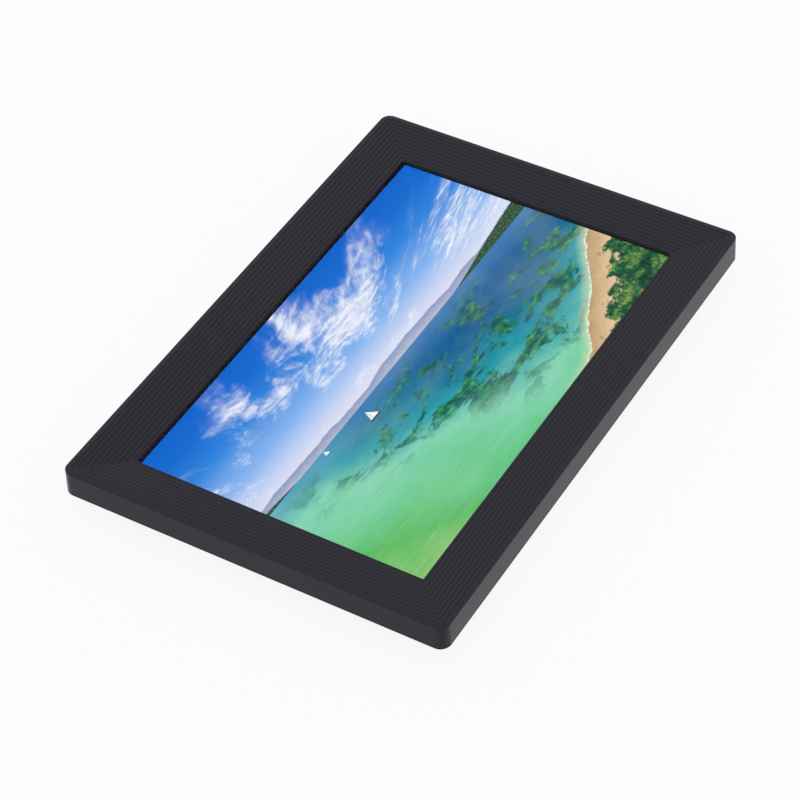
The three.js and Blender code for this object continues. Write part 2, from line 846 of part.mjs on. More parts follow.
function kickstand() {
  const options = { depth: legThickness, bevelEnabled: false };
  const plate = solidOf(new THREE.ExtrudeGeometry(legOutline(), options).translate(0, 0, legBackZ));
  const half = legWidth / 2;
  const barrel = barAlongX(hingeY, hingeZ, barrelRadius, [-half, half]);
  const bores = [-1, 1].map((side) => {
    const ends = [side * (half - hingePinGrip - fitGap), side * (half + overrun)];
    const spanX = side < 0 ? ends.reverse() : ends;
    return barAlongX(hingeY, hingeZ, hingePinRadius + pinGap, spanX, smallRoundSteps);
  });
  const tongue = standTongue(0);
  return cutBy(joined([plate, barrel, tongue]), [...bores, ...legPockets()]);
}

function standFoot() {
  const outline = roundedOutline(legTipWidth, standFootLength, standFootCornerRadius);
  const placed = outline.map(([x, y]) => [x, y + legTipY + standFootLength / 2 - layerGap]);
  const pad = slabSolid(placed, [legBackZ - standFootProud, legTopZ + standFootProud]);
  return pad.subtract(standTongue(pinGap)).subtract(standTongueClearance());
}

// The face of the leg that the rubber foot is fitted against, with its gap.
function standTongueClearance() {
  const faceY = legTipY + standFootLength;
  return boxSolid(
    span(0, legTipWidth + 2 * overrun),
    [faceY - layerGap, faceY + overrun],
    span(legBackZ, 2 * legThickness + 2 * overrun),
  );
}

function hingePin(side) {
  const inner = legWidth / 2 - hingePinGrip;
  const outer = legWidth / 2 + legGap + hingeCheek / 2;
  const spanX = side < 0 ? [-outer, -inner] : [inner, outer];
  return barAlongX(hingeY, hingeZ, hingePinRadius, spanX, smallRoundSteps);
}

// Screws stand head down along Z, with a drive recess in the head.

function screwSolid(x, y, radius, headRadius, [headLowZ, headHighZ], [shankLowZ, shankHighZ]) {
  const head = barAlongZ(x, y, headRadius, [headLowZ, headHighZ]);
  const shank = barAlongZ(x, y, radius, [shankLowZ, shankHighZ], smallRoundSteps);
  return head.add(shank);
}

function caseScrew([x, y]) {
  const headSpan = [rimBackZ, rimBackZ + caseScrewHeadHeight];
  const shankSpan = [rimBackZ + driveDepth, headSpan[1] + caseScrewLength];
  const screw = screwSolid(x, y, caseScrewRadius, caseScrewHeadRadius, headSpan, shankSpan);
  const drive = barAlongZ(x, y, driveRadius, [rimBackZ - overrun, rimBackZ + driveDepth], 6);
  return screw.subtract(drive);
}

function boardScrew([x, y]) {
  const headLowZ = boardTopZ + layerGap;
  const headTopZ = headLowZ + boardScrewHeadHeight;
  const shankSpan = [boardTopZ - boardScrewLength, headLowZ + boardScrewHeadHeight / 2];
  const screw = screwSolid(
    x, y, boardScrewRadius, boardScrewHeadRadius, [headLowZ, headTopZ], shankSpan,
  );
  const drive = barAlongZ(x, y, driveRadius, [headTopZ - driveDepth, headTopZ + overrun], 6);
  return screw.subtract(drive);
}

function rubberFoot([x, y]) {
  return barAlongZ(x, y, footRadius, [0, housingBackZ + footRecess]);
}

// The electronics.

function mainBoard() {
  const board = boxSolid(
    [boardLeftX, boardRightX],
    [boardLowY, boardHighY],
    [boardBackZ, boardTopZ],
  );
  const radius = boardScrewRadius + pinGap;
  const holeZ = [boardBackZ - overrun, boardTopZ + overrun];
  const holes = boardScrewPlaces().map(([x, y]) => barAlongZ(x, y, radius, holeZ, smallRoundSteps));
  return cutBy(board, holes);
}

function onBoard(x, y, width, height, thickness) {
  const lowZ = boardTopZ + layerGap;
  return boxSolid(span(x, width), span(y, height), [lowZ, lowZ + thickness]);
}

// A power socket: a metal shell with a thin tongue in its mouth, opening to +X.
function usbSocket() {
  const faceX = housingWidth / 2 - housingDrawIn(usbZ, housingBackZ) - fitGap;
  const shell = boxSolid(
    [faceX - usbLength, faceX],
    span(usbY, usbWidth),
    span(usbZ, usbThickness),
  );
  const mouthX = [faceX - usbMouthDepth, faceX + overrun];
  const mouth = boxSolid(
    mouthX,
    span(usbY, usbWidth - 2 * usbShellWall),
    span(usbZ, usbThickness - 2 * usbShellWall),
  );
  const tongue = boxSolid(
    [mouthX[0] - usbShellWall, faceX - 2 * usbShellWall],
    span(usbY, usbTongueWidth),
    span(usbZ, usbTongueThickness),
  );
  return shell.subtract(mouth).add(tongue);
}

// A memory card socket: a thin shell with a flat mouth, opening to +X.
function cardSocket() {
  const lowZ = cardZ - cardThickness / 2;
  const faceX = housingWidth / 2 - housingWall - housingDrawIn(lowZ, housingFloorZ) - fitGap;
  const shell = boxSolid(
    [faceX - cardLength, faceX],
    span(cardY, cardWidth),
    span(cardZ, cardThickness),
  );
  const mouth = boxSolid(
    [faceX - cardMouthDepth, faceX + overrun],
    span(cardY, cardMouthWidth),
    span(cardZ, cardMouthThickness),
  );
  return shell.subtract(mouth);
}

// The places along Y of the button's faces, from the wall that it passes through.
function buttonReach() {
  const lowZ = buttonZ - buttonThickness / 2;
  const wallY = housingHeight / 2 - housingDrawIn(buttonZ, housingBackZ);
  const innerWallY = housingHeight / 2 - housingWall - housingDrawIn(lowZ, housingFloorZ);
  const flangeHighY = innerWallY - fitGap;
  const flangeLowY = flangeHighY - buttonFlangeThickness;
  return { capY: wallY + buttonProud, flangeHighY, flangeLowY };
}

function powerButton() {
  const { capY, flangeHighY, flangeLowY } = buttonReach();
  const cap = roundedBarAlongY(
    buttonX, buttonZ, buttonWidth, buttonThickness, buttonCornerRadius, [flangeLowY, capY],
  );
  const flange = boxSolid(
    span(buttonX, buttonWidth + 2 * buttonFlange),
    [flangeLowY, flangeHighY],
    span(buttonZ, buttonThickness),
  );
  return cap.add(flange);
}

function switchHighY() {
  return buttonReach().flangeLowY - buttonTravel - fitGap;
}

function switchPlunger() {
  const highY = buttonReach().flangeLowY - layerGap;
  return barAlongY(buttonX, buttonZ, plungerRadius, [highY - plungerLength, highY]);
}

function powerSwitch() {
  const highY = switchHighY();
  const body = boxSolid(
    span(buttonX, switchWidth),
    [highY - switchLength, highY],
    span(buttonZ, switchThickness),
  );
  const boreLowY = buttonReach().flangeLowY - plungerLength - buttonTravel - fitGap;
  const bore = barAlongY(buttonX, buttonZ, plungerRadius + pinGap, [boreLowY, highY + overrun]);
  return body.subtract(bore);
}

function speaker(x) {
  const lowZ = housingFloorZ + layerGap;
  const basket = boxSolid(
    span(x, speakerWidth),
    span(speakerY, speakerHeight),
    [lowZ, lowZ + speakerFlange],
  );
  const box = boxSolid(
    span(x, speakerWidth - 2 * speakerFlange),
    span(speakerY, speakerHeight - 2 * speakerFlange),
    [lowZ, lowZ + speakerDepth],
  );
  const cone = barAlongZ(x, speakerY, speakerConeRadius, [lowZ - overrun, lowZ + speakerConeDepth]);
  return basket.add(box).subtract(cone);
}

// Ribbons and leads.

const panelBoardTopZ = trayBackZ - layerGap;
const panelBoardBackZ = panelBoardTopZ - panelBoardThickness;

function panelBoard() {
  return boxSolid(
    span(panelBoardX, panelBoardWidth),
    span(panelBoardY, panelBoardHeight),
    [panelBoardBackZ, panelBoardTopZ],
  );
}

// A thin strip of a width along X that follows points of [y, z].
function stripAlongX(x, width, line) {
  const upper = line.map(([y, z]) => new THREE.Vector2(y, z + ribbonThickness / 2));
  const lower = line.map(([y, z]) => new THREE.Vector2(y, z - ribbonThickness / 2));
  const shape = new THREE.Shape([...upper, ...lower.reverse()]);
  const geometry = new THREE.ExtrudeGeometry(shape, { depth: width, bevelEnabled: false });
  const turned = geometry.rotateX(Math.PI / 2).rotateZ(Math.PI / 2);
  return solidOf(turned.translate(x - width / 2, 0, 0));
}

// The ribbon from the panel's board down to the socket on the main board.
function displayRibbon() {
  const startY = panelBoardY;
  const endY = displaySocketY;
  const startZ = panelBoardBackZ - layerGap - ribbonThickness / 2;
  const endZ = boardTopZ + displaySocketThickness + 2 * layerGap + ribbonThickness / 2;
  const line = [];
  for (let step = 0; step <= ribbonBendSteps; step++) {
    const share = step / ribbonBendSteps;
    const eased = share * share * (3 - 2 * share);
    line.push([startY + (endY - startY) * share, startZ + (endZ - startZ) * eased]);
  }
  return stripAlongX(displaySocketX, ribbonWidth, line);
}

// The ribbon from the glass, down beside the panel and in behind it.
function touchRibbon() {
  const outerX = frameWidth / 2 - glassInset - layerGap;
  const spanY = span(touchRibbonY, touchRibbonWidth);
  const lowZ = trayBackZ - layerGap - ribbonThickness;
  const drop = boxSolid(
    [outerX - ribbonThickness, outerX],
    spanY,
    [lowZ, glassTopZ - glassThickness - layerGap],
  );
  const run = boxSolid(
    [housingWidth / 2 - touchRibbonReach, outerX],
    spanY,
    [lowZ, lowZ + ribbonThickness],
  );
  return drop.add(run);
}

function touchSocket() {
  const topZ = trayBackZ - 2 * layerGap - ribbonThickness;
  const lowX = housingWidth / 2 - touchRibbonReach;
  return boxSolid(
    [lowX, lowX + touchSocketLength],
    span(touchRibbonY, touchRibbonWidth),
    [topZ - touchSocketThickness, topZ],
  );
}

function antenna() {
  const lowZ = housingFloorZ + layerGap;
  return boxSolid(
    span(antennaX, antennaLength),
    span(antennaY, antennaWidth),
    [lowZ, lowZ + antennaThickness],
  );
}

// A round lead along a smooth curve through points.
function leadSolid(points) {
  const curve = new THREE.CatmullRomCurve3(points.map((point) => new THREE.Vector3(...point)));
  const section = new THREE.Shape();
  for (let side = 0; side < leadSides; side++) {
    const angle = (side / leadSides) * 2 * Math.PI;
    const x = leadRadius * Math.cos(angle);
    const y = leadRadius * Math.sin(angle);
    if (side === 0) section.moveTo(x, y);
    else section.lineTo(x, y);
  }
  return solidOf(
    new THREE.ExtrudeGeometry(section, { steps: leadSteps, extrudePath: curve, bevelEnabled: false }),
  );
}

// The antenna's lead lies on the housing's floor and climbs past the board's corner.
function antennaLead() {
  const floorZ = housingFloorZ + leadRadius + leadRise;
  const highZ = boardTopZ + layerGap + wifiThickness + leadRadius + fitGap;
  const runY = antennaY + leadRadius;
  return leadSolid([
    [antennaX + antennaLength / 2 - leadClear, antennaY, floorZ],
    [antennaX + antennaLength / 2 + leadClear, antennaY, floorZ],
    [0, runY, floorZ],
    [boardLeftX - 3 * leadClear, runY, floorZ + leadRise],
    [boardLeftX - leadClear, boardHighY - leadClear, boardTopZ + leadRise],
    [wifiX - wifiWidth / 2, wifiY + wifiHeight / 2, highZ],
    [wifiX, wifiY, highZ],
  ]);
}

function speakerSocketTopZ() {
  return boardTopZ + layerGap + speakerSocketThickness + layerGap + leadRadius;
}

// The left speaker's lead passes above the end of the trough, the right one's is short.
function speakerLead(side) {
  const startX = side * speakerX;
  const startY = speakerY + speakerHeight / 2 - 2 * speakerFlange;
  const startZ = housingFloorZ + speakerDepth + leadRadius + 2 * layerGap;
  const topZ = speakerSocketTopZ();
  const aboveTroughY = hingePocket().spanY[1] + troughCeiling + leadClear;
  const around = [
    [startX, aboveTroughY / 2, startZ],
    [-boardLeftX, aboveTroughY, startZ],
    [0, aboveTroughY, topZ],
    [boardLeftX, aboveTroughY / 2, topZ],
  ];
  return leadSolid([
    [startX, startY, startZ],
    [startX, startY + leadClear, startZ],
    ...(side < 0 ? around : []),
    [speakerSocketX + (side > 0 ? speakerSocketSize / 2 : 0), speakerSocketY + leadClear, topZ],
    [speakerSocketX + (side > 0 ? speakerSocketSize / 2 : 0), speakerSocketY, topZ],
  ]);
}

// The whole frame.

const frame = new THREE.Group();

function addPiece(name, solid, finish) {
  const mesh = new THREE.Mesh(geometryOf(solid), new THREE.MeshStandardMaterial(finish));
  mesh.name = name;
  frame.add(mesh);
}

function addCopies(name, places, make, finish) {
  places.forEach((place, i) => addPiece(`${name}_${i + 1}`, make(place), finish));
}

function addCasing() {
  addPiece("front_bezel", frontBezel(), finishes.casing);
  addPiece("rear_cover", rearCover(), finishes.cover);
  addCopies("case_screw", caseScrewPlaces(), caseScrew, finishes.steel);
  addCopies("rubber_foot", footPlaces(), rubberFoot, finishes.rubber);
}

function addScreen() {
  addPiece("dust_gasket", dustGasket(), finishes.foam);
  const glassSpan = [glassTopZ - glassThickness, glassTopZ];
  addPiece("touch_glass", slabSolid(frameOutline(glassInset), glassSpan), finishes.glass);
  const cellSpan = [cellTopZ - cellThickness, cellTopZ];
  addPiece("lcd_cell", slabSolid(frameOutline(panelInset), cellSpan), finishes.screen);
  const underCellZ = diffuserTopZ - layerGap;
  addPiece("diffuser_sheet", traySheet(underCellZ, diffuserThickness, false), finishes.film);
  addPiece("light_guide", traySheet(guideTopZ - layerGap, guideThickness, true), finishes.acrylic);
  addPiece("reflector_sheet", traySheet(reflectorTopZ, reflectorThickness, false), finishes.film);
  addPiece("led_strip", ledStrip(), finishes.film);
  addPiece("panel_tray", panelTray(), finishes.steel);
  addPiece("panel_board", panelBoard(), finishes.board);
}

function addStand() {
  addPiece("kickstand", kickstand(), finishes.stand);
  addPiece("kickstand_foot", standFoot(), finishes.rubber);
  addPiece("hinge_pin_left", hingePin(-1), finishes.steel);
  addPiece("hinge_pin_right", hingePin(1), finishes.steel);
}

function addButton() {
  addPiece("power_button", powerButton(), finishes.button);
  addPiece("switch_plunger", switchPlunger(), finishes.socket);
  addPiece("power_switch", powerSwitch(), finishes.steel);
}

function addChips() {
  const processor = onBoard(
    processorX, processorY, processorSize, processorSize, processorThickness,
  );
  addPiece("processor_chip", processor, finishes.chip);
  [-1, 1].forEach((side, i) => {
    const y = memoryY + (side * memoryPitch) / 2;
    const chip = onBoard(memoryX, y, memorySize, memorySize, memoryThickness);
    addPiece(`memory_chip_${i + 1}`, chip, finishes.chip);
  });
  const flash = onBoard(flashX, flashY, flashWidth, flashHeight, memoryThickness);
  addPiece("flash_chip", flash, finishes.chip);
  const wifi = onBoard(wifiX, wifiY, wifiWidth, wifiHeight, wifiThickness);
  addPiece("wifi_module", wifi, finishes.steel);
  const inductor = onBoard(inductorX, inductorY, inductorSize, inductorSize, inductorThickness);
  addPiece("power_inductor", inductor, finishes.chip);
}

function addSockets() {
  const display = onBoard(
    displaySocketX, displaySocketY, displaySocketWidth, displaySocketHeight, displaySocketThickness,
  );
  addPiece("display_socket", display, finishes.socket);
  const speakers = onBoard(
    speakerSocketX, speakerSocketY, speakerSocketSize, speakerSocketSize, speakerSocketThickness,
  );
  addPiece("speaker_socket", speakers, finishes.socket);
  addPiece("touch_socket", touchSocket(), finishes.socket);
  addPiece("power_socket", usbSocket(), finishes.steel);
  addPiece("card_socket", cardSocket(), finishes.steel);
}

function addElectronics() {
  addPiece("main_board", mainBoard(), finishes.board);
  addCopies("board_screw", boardScrewPlaces(), boardScrew, finishes.steel);
  addChips();
  addSockets();
  addPiece("display_ribbon", displayRibbon(), finishes.ribbon);
  addPiece("touch_ribbon", touchRibbon(), finishes.ribbon);
  addPiece("antenna", antenna(), finishes.board);
  addPiece("antenna_lead", antennaLead(), finishes.lead);
  addPiece("speaker_left", speaker(-speakerX), finishes.chip);
  addPiece("speaker_right", speaker(speakerX), finishes.chip);
  addPiece("speaker_lead_left", speakerLead(-1), finishes.lead);
  addPiece("speaker_lead_right", speakerLead(1), finishes.lead);
}

addCasing();
addScreen();
addStand();
addButton();
addElectronics();

export default frame;
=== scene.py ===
"""A ten inch digital photo frame on its back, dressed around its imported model.

Blender works in metres, with +Z out of the screen. Named lengths are in millimetres, but for the studio's.
"""

import math

import bmesh
import bpy
from mathutils import Matrix, Vector


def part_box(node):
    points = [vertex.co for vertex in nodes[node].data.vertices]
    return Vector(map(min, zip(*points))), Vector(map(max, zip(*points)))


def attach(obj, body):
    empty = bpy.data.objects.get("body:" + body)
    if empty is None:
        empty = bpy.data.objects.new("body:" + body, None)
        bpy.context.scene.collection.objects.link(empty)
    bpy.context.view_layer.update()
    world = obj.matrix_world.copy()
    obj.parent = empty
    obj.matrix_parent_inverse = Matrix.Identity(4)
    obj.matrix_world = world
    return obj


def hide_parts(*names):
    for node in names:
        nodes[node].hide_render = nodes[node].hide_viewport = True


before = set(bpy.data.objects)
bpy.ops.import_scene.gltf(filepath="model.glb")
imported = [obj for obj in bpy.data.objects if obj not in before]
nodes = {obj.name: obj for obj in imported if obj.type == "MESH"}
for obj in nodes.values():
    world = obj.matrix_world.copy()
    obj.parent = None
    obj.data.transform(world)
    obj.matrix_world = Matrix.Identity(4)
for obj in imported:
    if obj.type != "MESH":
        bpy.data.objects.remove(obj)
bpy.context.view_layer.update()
MM = 0.001

# The photographed view, turned and shifted about a point VIEW_BASE_Z above the floor. Angles in degrees.
VIEW_AZIMUTH = -57.425
VIEW_ELEVATION = 44.661
VIEW_ROLL = -3.081
VIEW_DISTANCE = 1221.667
VIEW_RIGHT = -5.735
VIEW_UP = -13.565
VIEW_BASE_Z = 8.5
LENS = 127.644
SENSOR_WIDTH = 36.0

# The bezel's outline and side wall.
FRAME_WIDTH = 264.28
FRAME_HEIGHT = 182.92
RIM_BACK_Z = 8.5
RIM_TOP_Z = 20.5
OUTER_RADIUS = 5.0
INNER_RADIUS = 0.5
CORNER_STEPS = 9
CORNER_LEAD = 0.4
WALL_DRAFT = 0.3
EDGE_ROUND = 0.25
BACK_ROUND = 0.12
PARTING_Z = 9.15
PARTING_DEPTH = 0.16

# Rows this far from a bend keep the shading of the flat beside it flat.
SUPPORT = 0.25

# The bezel's face, which falls from the crest to the lip. Insets are from the outline.
BEZEL_WIDTH = 22.7
CREST_Z = 20.75
LIP_Z = 17.415
LIP_ROUND = 0.3
LIP_DRAFT = 0.65
LIP_LAND = 0.15
LIP_BACK_Z = 16.065
BAND_SHARES = (0.0, 0.12, 0.88)

# The flutes, half of one from its middle out with shares of its depth, and the ridges between them.
FLUTE_COUNT = 10
FLUTE_INSET = 3.3
FLUTE_PITCH = 2.011
FLUTE_DEPTH = 0.30
FLUTE_HALF = 0.35
FLUTE_FLOOR = 0.06
FLUTE_SHOULDER = 0.06
FLOOR_DEPTH_SHARE = 0.93
FLANK_DEPTH_SHARE = 0.36
BROW_DEPTH_SHARE = 0.09
RIDGE_CROWN = 0.04
RIDGE_SHARES = (-0.6, -0.2, 0.2, 0.6)

# The hollow back of the bezel, with its notch for the display's ribbon and its screw bosses.
WALL = 2.0
UNDERSIDE_OUTER_Z = 18.5
UNDERSIDE_INNER_Z = 16.67
POCKET_INSET = 17.2
POCKET_WALL_INSET = 15.4
POCKET_BACK_Z = 10.6
NOTCH_Y = 30.0
NOTCH_HALF = 5.3
NOTCH_TOP_Z = 12.1
NOTCH_HAIR = 0.02
SCREW_INSET = 8.7
BOSS_RADIUS = 3.2
BOSS_BORE = 1.45
BOSS_BASE_Z = 11.5
BOSS_TOP_Z = 17.9
BOSS_SIDES = 24

# The rubber feet: a shallow dish, whose places are shares of the radius, and a rounded edge.
FOOT_SIDES = 40
FOOT_HUB = 0.35
FOOT_HUB_DEPTH = 0.30
FOOT_FLOOR_SHARE = 0.5
FOOT_FLOOR_DEPTH = 0.28
FOOT_SLOPE_SHARE = 0.62
FOOT_SLOPE_DEPTH = 0.06
FOOT_RIM_SHARE = 0.7
FOOT_ROUND = 0.45
FOOT_CHAMFER = 0.13

# The lit picture. Places on it, u across and v up, are shares of its width and height from its middle.
PICTURE_WIDTH = 216.96
PICTURE_HEIGHT = 135.6
PICTURE_SHAPE = PICTURE_WIDTH / PICTURE_HEIGHT
PICTURE_SHIFT = (0.56, -0.27)
PICTURE_FEATHER_SHARE = 0.0001
HORIZON_SHARE = 0.05
PANEL_EDGE_TINT = (0.026, 0.026, 0.029, 1.0)
PANEL_FACE_TINT = (0.002, 0.002, 0.0025, 1.0)

# How edges are welded, rounded and smoothed. Angles are in degrees.
WELD_GAP = 0.002
EASED_ANGLE = 32
SMOOTH_ANGLE = 38

# The studio and how far the camera sees, in metres and watts.
FLOOR_HALF = 4.0
FLOOR_GLOW_SHARE = 0.9
FLOOR_MIRRORED_SHARE = 0.755
PAPER_TINT = (0.91, 0.90, 0.97, 1.0)
SURROUND_LEVEL = 0.72
SURROUND_GAIN = 0.36
SURROUND_RISE = (0.42, 0.64)
SURROUND_MATT_SHARE = 0.8
SURROUND_TINT = (0.985, 0.98, 1.03, 1.0)
LAMP_PLACE = (0.3, 0.2, 1.6)
LAMP_SIDE = 2.4
LAMP_POWER = 2.0
CLIP_START = 0.05
CLIP_END = 20.0

BLACK = (0.0, 0.0, 0.0, 1.0)
WHITE = (1.0, 1.0, 1.0, 1.0)


# Numbers and colours that nodes put out, written as arithmetic.


def give(tree, socket, value):
    """Links what another node puts out to a socket, or sets the socket's own value."""
    if isinstance(value, Signal):
        value = value.socket
    if isinstance(value, bpy.types.NodeSocket):
        tree.links.new(value, socket)
    else:
        socket.default_value = value


class Signal:
    """A number that a node puts out."""

    def __init__(self, tree, socket):
        self.tree = tree
        self.socket = socket

    def math(self, operation, *others):
        """This number put through one of Blender's operations."""
        node = self.tree.nodes.new("ShaderNodeMath")
        node.operation = operation
        for slot, value in enumerate((self, *others)):
            give(self.tree, node.inputs[slot], value)
        return Signal(self.tree, node.outputs[0])

    def __add__(self, other):
        return self.math("ADD", other)

    def __sub__(self, other):
        return self.math("SUBTRACT", other)

    def __mul__(self, other):
        return self.math("MULTIPLY", other)

    def __truediv__(self, other):
        return self.math("DIVIDE", other)

    def step(self, start, end):
        """0 before start and 1 after end, with a smooth change between them."""
        node = self.tree.nodes.new("ShaderNodeMapRange")
        node.interpolation_type = "SMOOTHSTEP"
        give(self.tree, node.inputs["Value"], self)
        low, high, first, second = (start, end, 0.0, 1.0) if start < end else (end, start, 1.0, 0.0)
        node.inputs["From Min"].default_value = low
        node.inputs["From Max"].default_value = high
        node.inputs["To Min"].default_value = first
        node.inputs["To Max"].default_value = second
        return Signal(self.tree, node.outputs["Result"])

    def rest(self):
        """What this number leaves of 1."""
        return self * -1.0 + 1.0


def linear(level):
    """A screen's level, from 0 to 255, as an amount of light from 0 to 1."""
    share = level / 255
    return share / 12.92 if share <= 0.04045 else ((share + 0.055) / 1.055) ** 2.4


def colour(red, green, blue):
    """A colour given as it looks on a screen, from 0 to 255."""
    return (linear(red), linear(green), linear(blue), 1.0)


def put(tree, kind, values=None):
    """A new node, with values or links for its inputs by name or number."""
    node = tree.nodes.new("ShaderNode" + kind)
    for name, value in (values or {}).items():
        give(tree, node.inputs[name], value)
    return node


def blend(tree, share, first, second):
    """The first colour, which gives way to the second as the share grows."""
    node = tree.nodes.new("ShaderNodeMix")
    node.data_type = "RGBA"
    for slot, value in ((0, share), (6, first), (7, second)):
        give(tree, node.inputs[slot], value)
    return node.outputs[2]


def blend_shaders(tree, share, first, second):
    """The first shader, which gives way to the second as the share grows."""
    return put(tree, "MixShader", {0: share, 1: first, 2: second}).outputs[0]


def ramp(tree, share, stops):
    """A colour for each share, from colours at given shares."""
    node = tree.nodes.new("ShaderNodeValToRGB")
    give(tree, node.inputs[0], share)
    elements = node.color_ramp.elements
    while len(elements) < len(stops):
        elements.new(1.0)
    for element, (place, shade) in zip(elements, stops):
        element.position = place
        element.color = shade
    return node.outputs[0]


def noise(tree, vector, scale, detail=4.0, roughness=0.5, distortion=0.0):
    """Cloudy noise from 0 to 1 over a place."""
    values = {"Scale": scale, "Detail": detail, "Roughness": roughness, "Distortion": distortion}
    node = put(tree, "TexNoise", {"Vector": vector, **values})
    return Signal(tree, node.outputs[0])


def picture_noise(tree, u, v, seed, wide=PICTURE_SHAPE, tall=1.0, **settings):
    """Noise over the lit picture. Larger wide and tall values make its patches narrower and lower."""
    return noise(tree, vector_of(tree, u * wide, v * tall, seed), **settings)


def cells(tree, scale, randomness=1.0):
    """Scattered points: how far the nearest one is, and a number from 0 to 1 that it has by chance."""
    values = {"Vector": position(tree), "Scale": scale, "Randomness": randomness}
    node = put(tree, "TexVoronoi", values)
    chance = put(tree, "SeparateColor", {"Color": node.outputs["Color"]})
    return Signal(tree, node.outputs["Distance"]), Signal(tree, chance.outputs[0])


def position(tree):
    """The place on the object, in metres."""
    return put(tree, "TexCoord").outputs["Object"]


def shades(base, dark, light):
    """A base colour at two levels."""
    return [tuple(level * c for c in base) + (1.0,) for level in (dark, light)]


def stretched(tree, vector, scale):
    """A place with each of its three numbers scaled."""
    return put(tree, "Mapping", {"Vector": vector, "Scale": scale}).outputs[0]


def vector_of(tree, x, y, z=0.0):
    """A place made of three numbers."""
    return put(tree, "CombineXYZ", {"X": x, "Y": y, "Z": z}).outputs[0]


def numbers_of(tree, vector):
    """The three numbers of a place or a direction."""
    split = put(tree, "SeparateXYZ", {"Vector": vector})
    return [Signal(tree, output) for output in split.outputs]


def empty_tree(holder):
    """The node tree of a material or a world, with nothing in it."""
    holder.use_nodes = True
    holder.node_tree.nodes.clear()
    return holder.node_tree


def new_material(name, **values):
    """A material with one Principled shader whose sockets get these values."""
    material = bpy.data.materials.new(name)
    tree = empty_tree(material)
    shader = put(tree, "BsdfPrincipled")
    put(tree, "OutputMaterial", {"Surface": shader.outputs[0]})
    for key, value in values.items():
        shader.inputs[key.replace("_", " ").title().replace("Ior", "IOR")].default_value = value
    return material, tree, shader


def add_bump(tree, shader, height, distance, strength):
    """Raises a shader's surface where the height is above 0, by the distance in metres at 1."""
    values = {"Height": height, "Distance": distance, "Strength": strength}
    give(tree, shader.inputs["Normal"], put(tree, "Bump", values).outputs[0])


# Materials.


def moulded_plastic(name, base, roughness, grain=5200.0, dust_share=0.0):
    """Dark plastic from a spark-eroded mould, with a faint mottle and, if asked, specks of dust."""
    material, tree, shader = new_material(
        name, specular_ior_level=0.275, specular_tint=(0.94, 0.925, 1.0, 1.0)
    )
    place = position(tree)
    mottle = noise(tree, place, scale=38.0, detail=3.0)
    fine = noise(tree, place, scale=900.0, detail=2.0)
    shade = blend(tree, (mottle + fine) * 0.5, *shades(base, 0.88, 1.12))
    if dust_share:
        distance, chance = cells(tree, 85.0)
        speck = distance.step(0.030, 0.012) * chance.step(1.0 - dust_share, 1.02 - dust_share)
        shade = blend(tree, speck * 0.55, shade, colour(150, 150, 152))
    give(tree, shader.inputs["Base Color"], shade)
    give(tree, shader.inputs["Roughness"], mottle * 0.10 + (roughness - 0.05))
    grains = noise(tree, place, grain, detail=2.0, roughness=0.6)
    add_bump(tree, shader, grains, distance=0.00004, strength=0.35)
    return material


def picture_sky(tree, u, v):
    """A deep blue that pales to a haze, with high thin cloud in bands that reach for the horizon."""
    rise = ((v - HORIZON_SHARE) / (0.5 - HORIZON_SHARE)).math("MAXIMUM", 0.0)
    sky = ramp(
        tree,
        rise,
        [
            (0.0, colour(232, 226, 240)),
            (0.10, colour(206, 216, 244)),
            (0.30, colour(134, 180, 240)),
            (0.58, colour(44, 132, 220)),
            (0.80, colour(10, 106, 208)),
            (1.0, colour(2, 98, 202)),
        ],
    )
    spread = (rise + 0.34).math("POWER", -1.0)
    across = (u + 0.22) * spread * PICTURE_SHAPE
    drift = noise(tree, vector_of(tree, across, spread, 1.1), scale=1.6, detail=3.0) - 0.5
    place = vector_of(tree, across * 0.9, spread * 0.55, 3.7)
    banks = noise(tree, place, scale=2.1, detail=4.0, roughness=0.5)
    place = vector_of(tree, across * 5.0 + drift * 2.0, spread * 1.3, 6.9)
    streaks = noise(tree, place, scale=1.5, detail=8.0, roughness=0.62)
    place = vector_of(tree, across * 9.0, spread * 13.0 + drift * 9.0, 2.4)
    ripples = noise(tree, place, scale=1.7, detail=6.0, roughness=0.6)
    clear = rise.step(0.70, 1.0) * 0.16
    body = (streaks * 0.62 + ripples * 0.38 + (banks - 0.5) * 1.15 - clear).step(0.50, 0.73)
    thin = (streaks + (banks - 0.5) * 1.2 - clear).step(0.44, 0.88) * 0.5
    cover = (body * 0.9 + thin * body.rest()) * rise.step(0.0, 0.14)
    shade = blend(tree, ripples.step(0.36, 0.66), colour(206, 216, 242), colour(250, 251, 255))
    return blend(tree, cover, sky, shade)


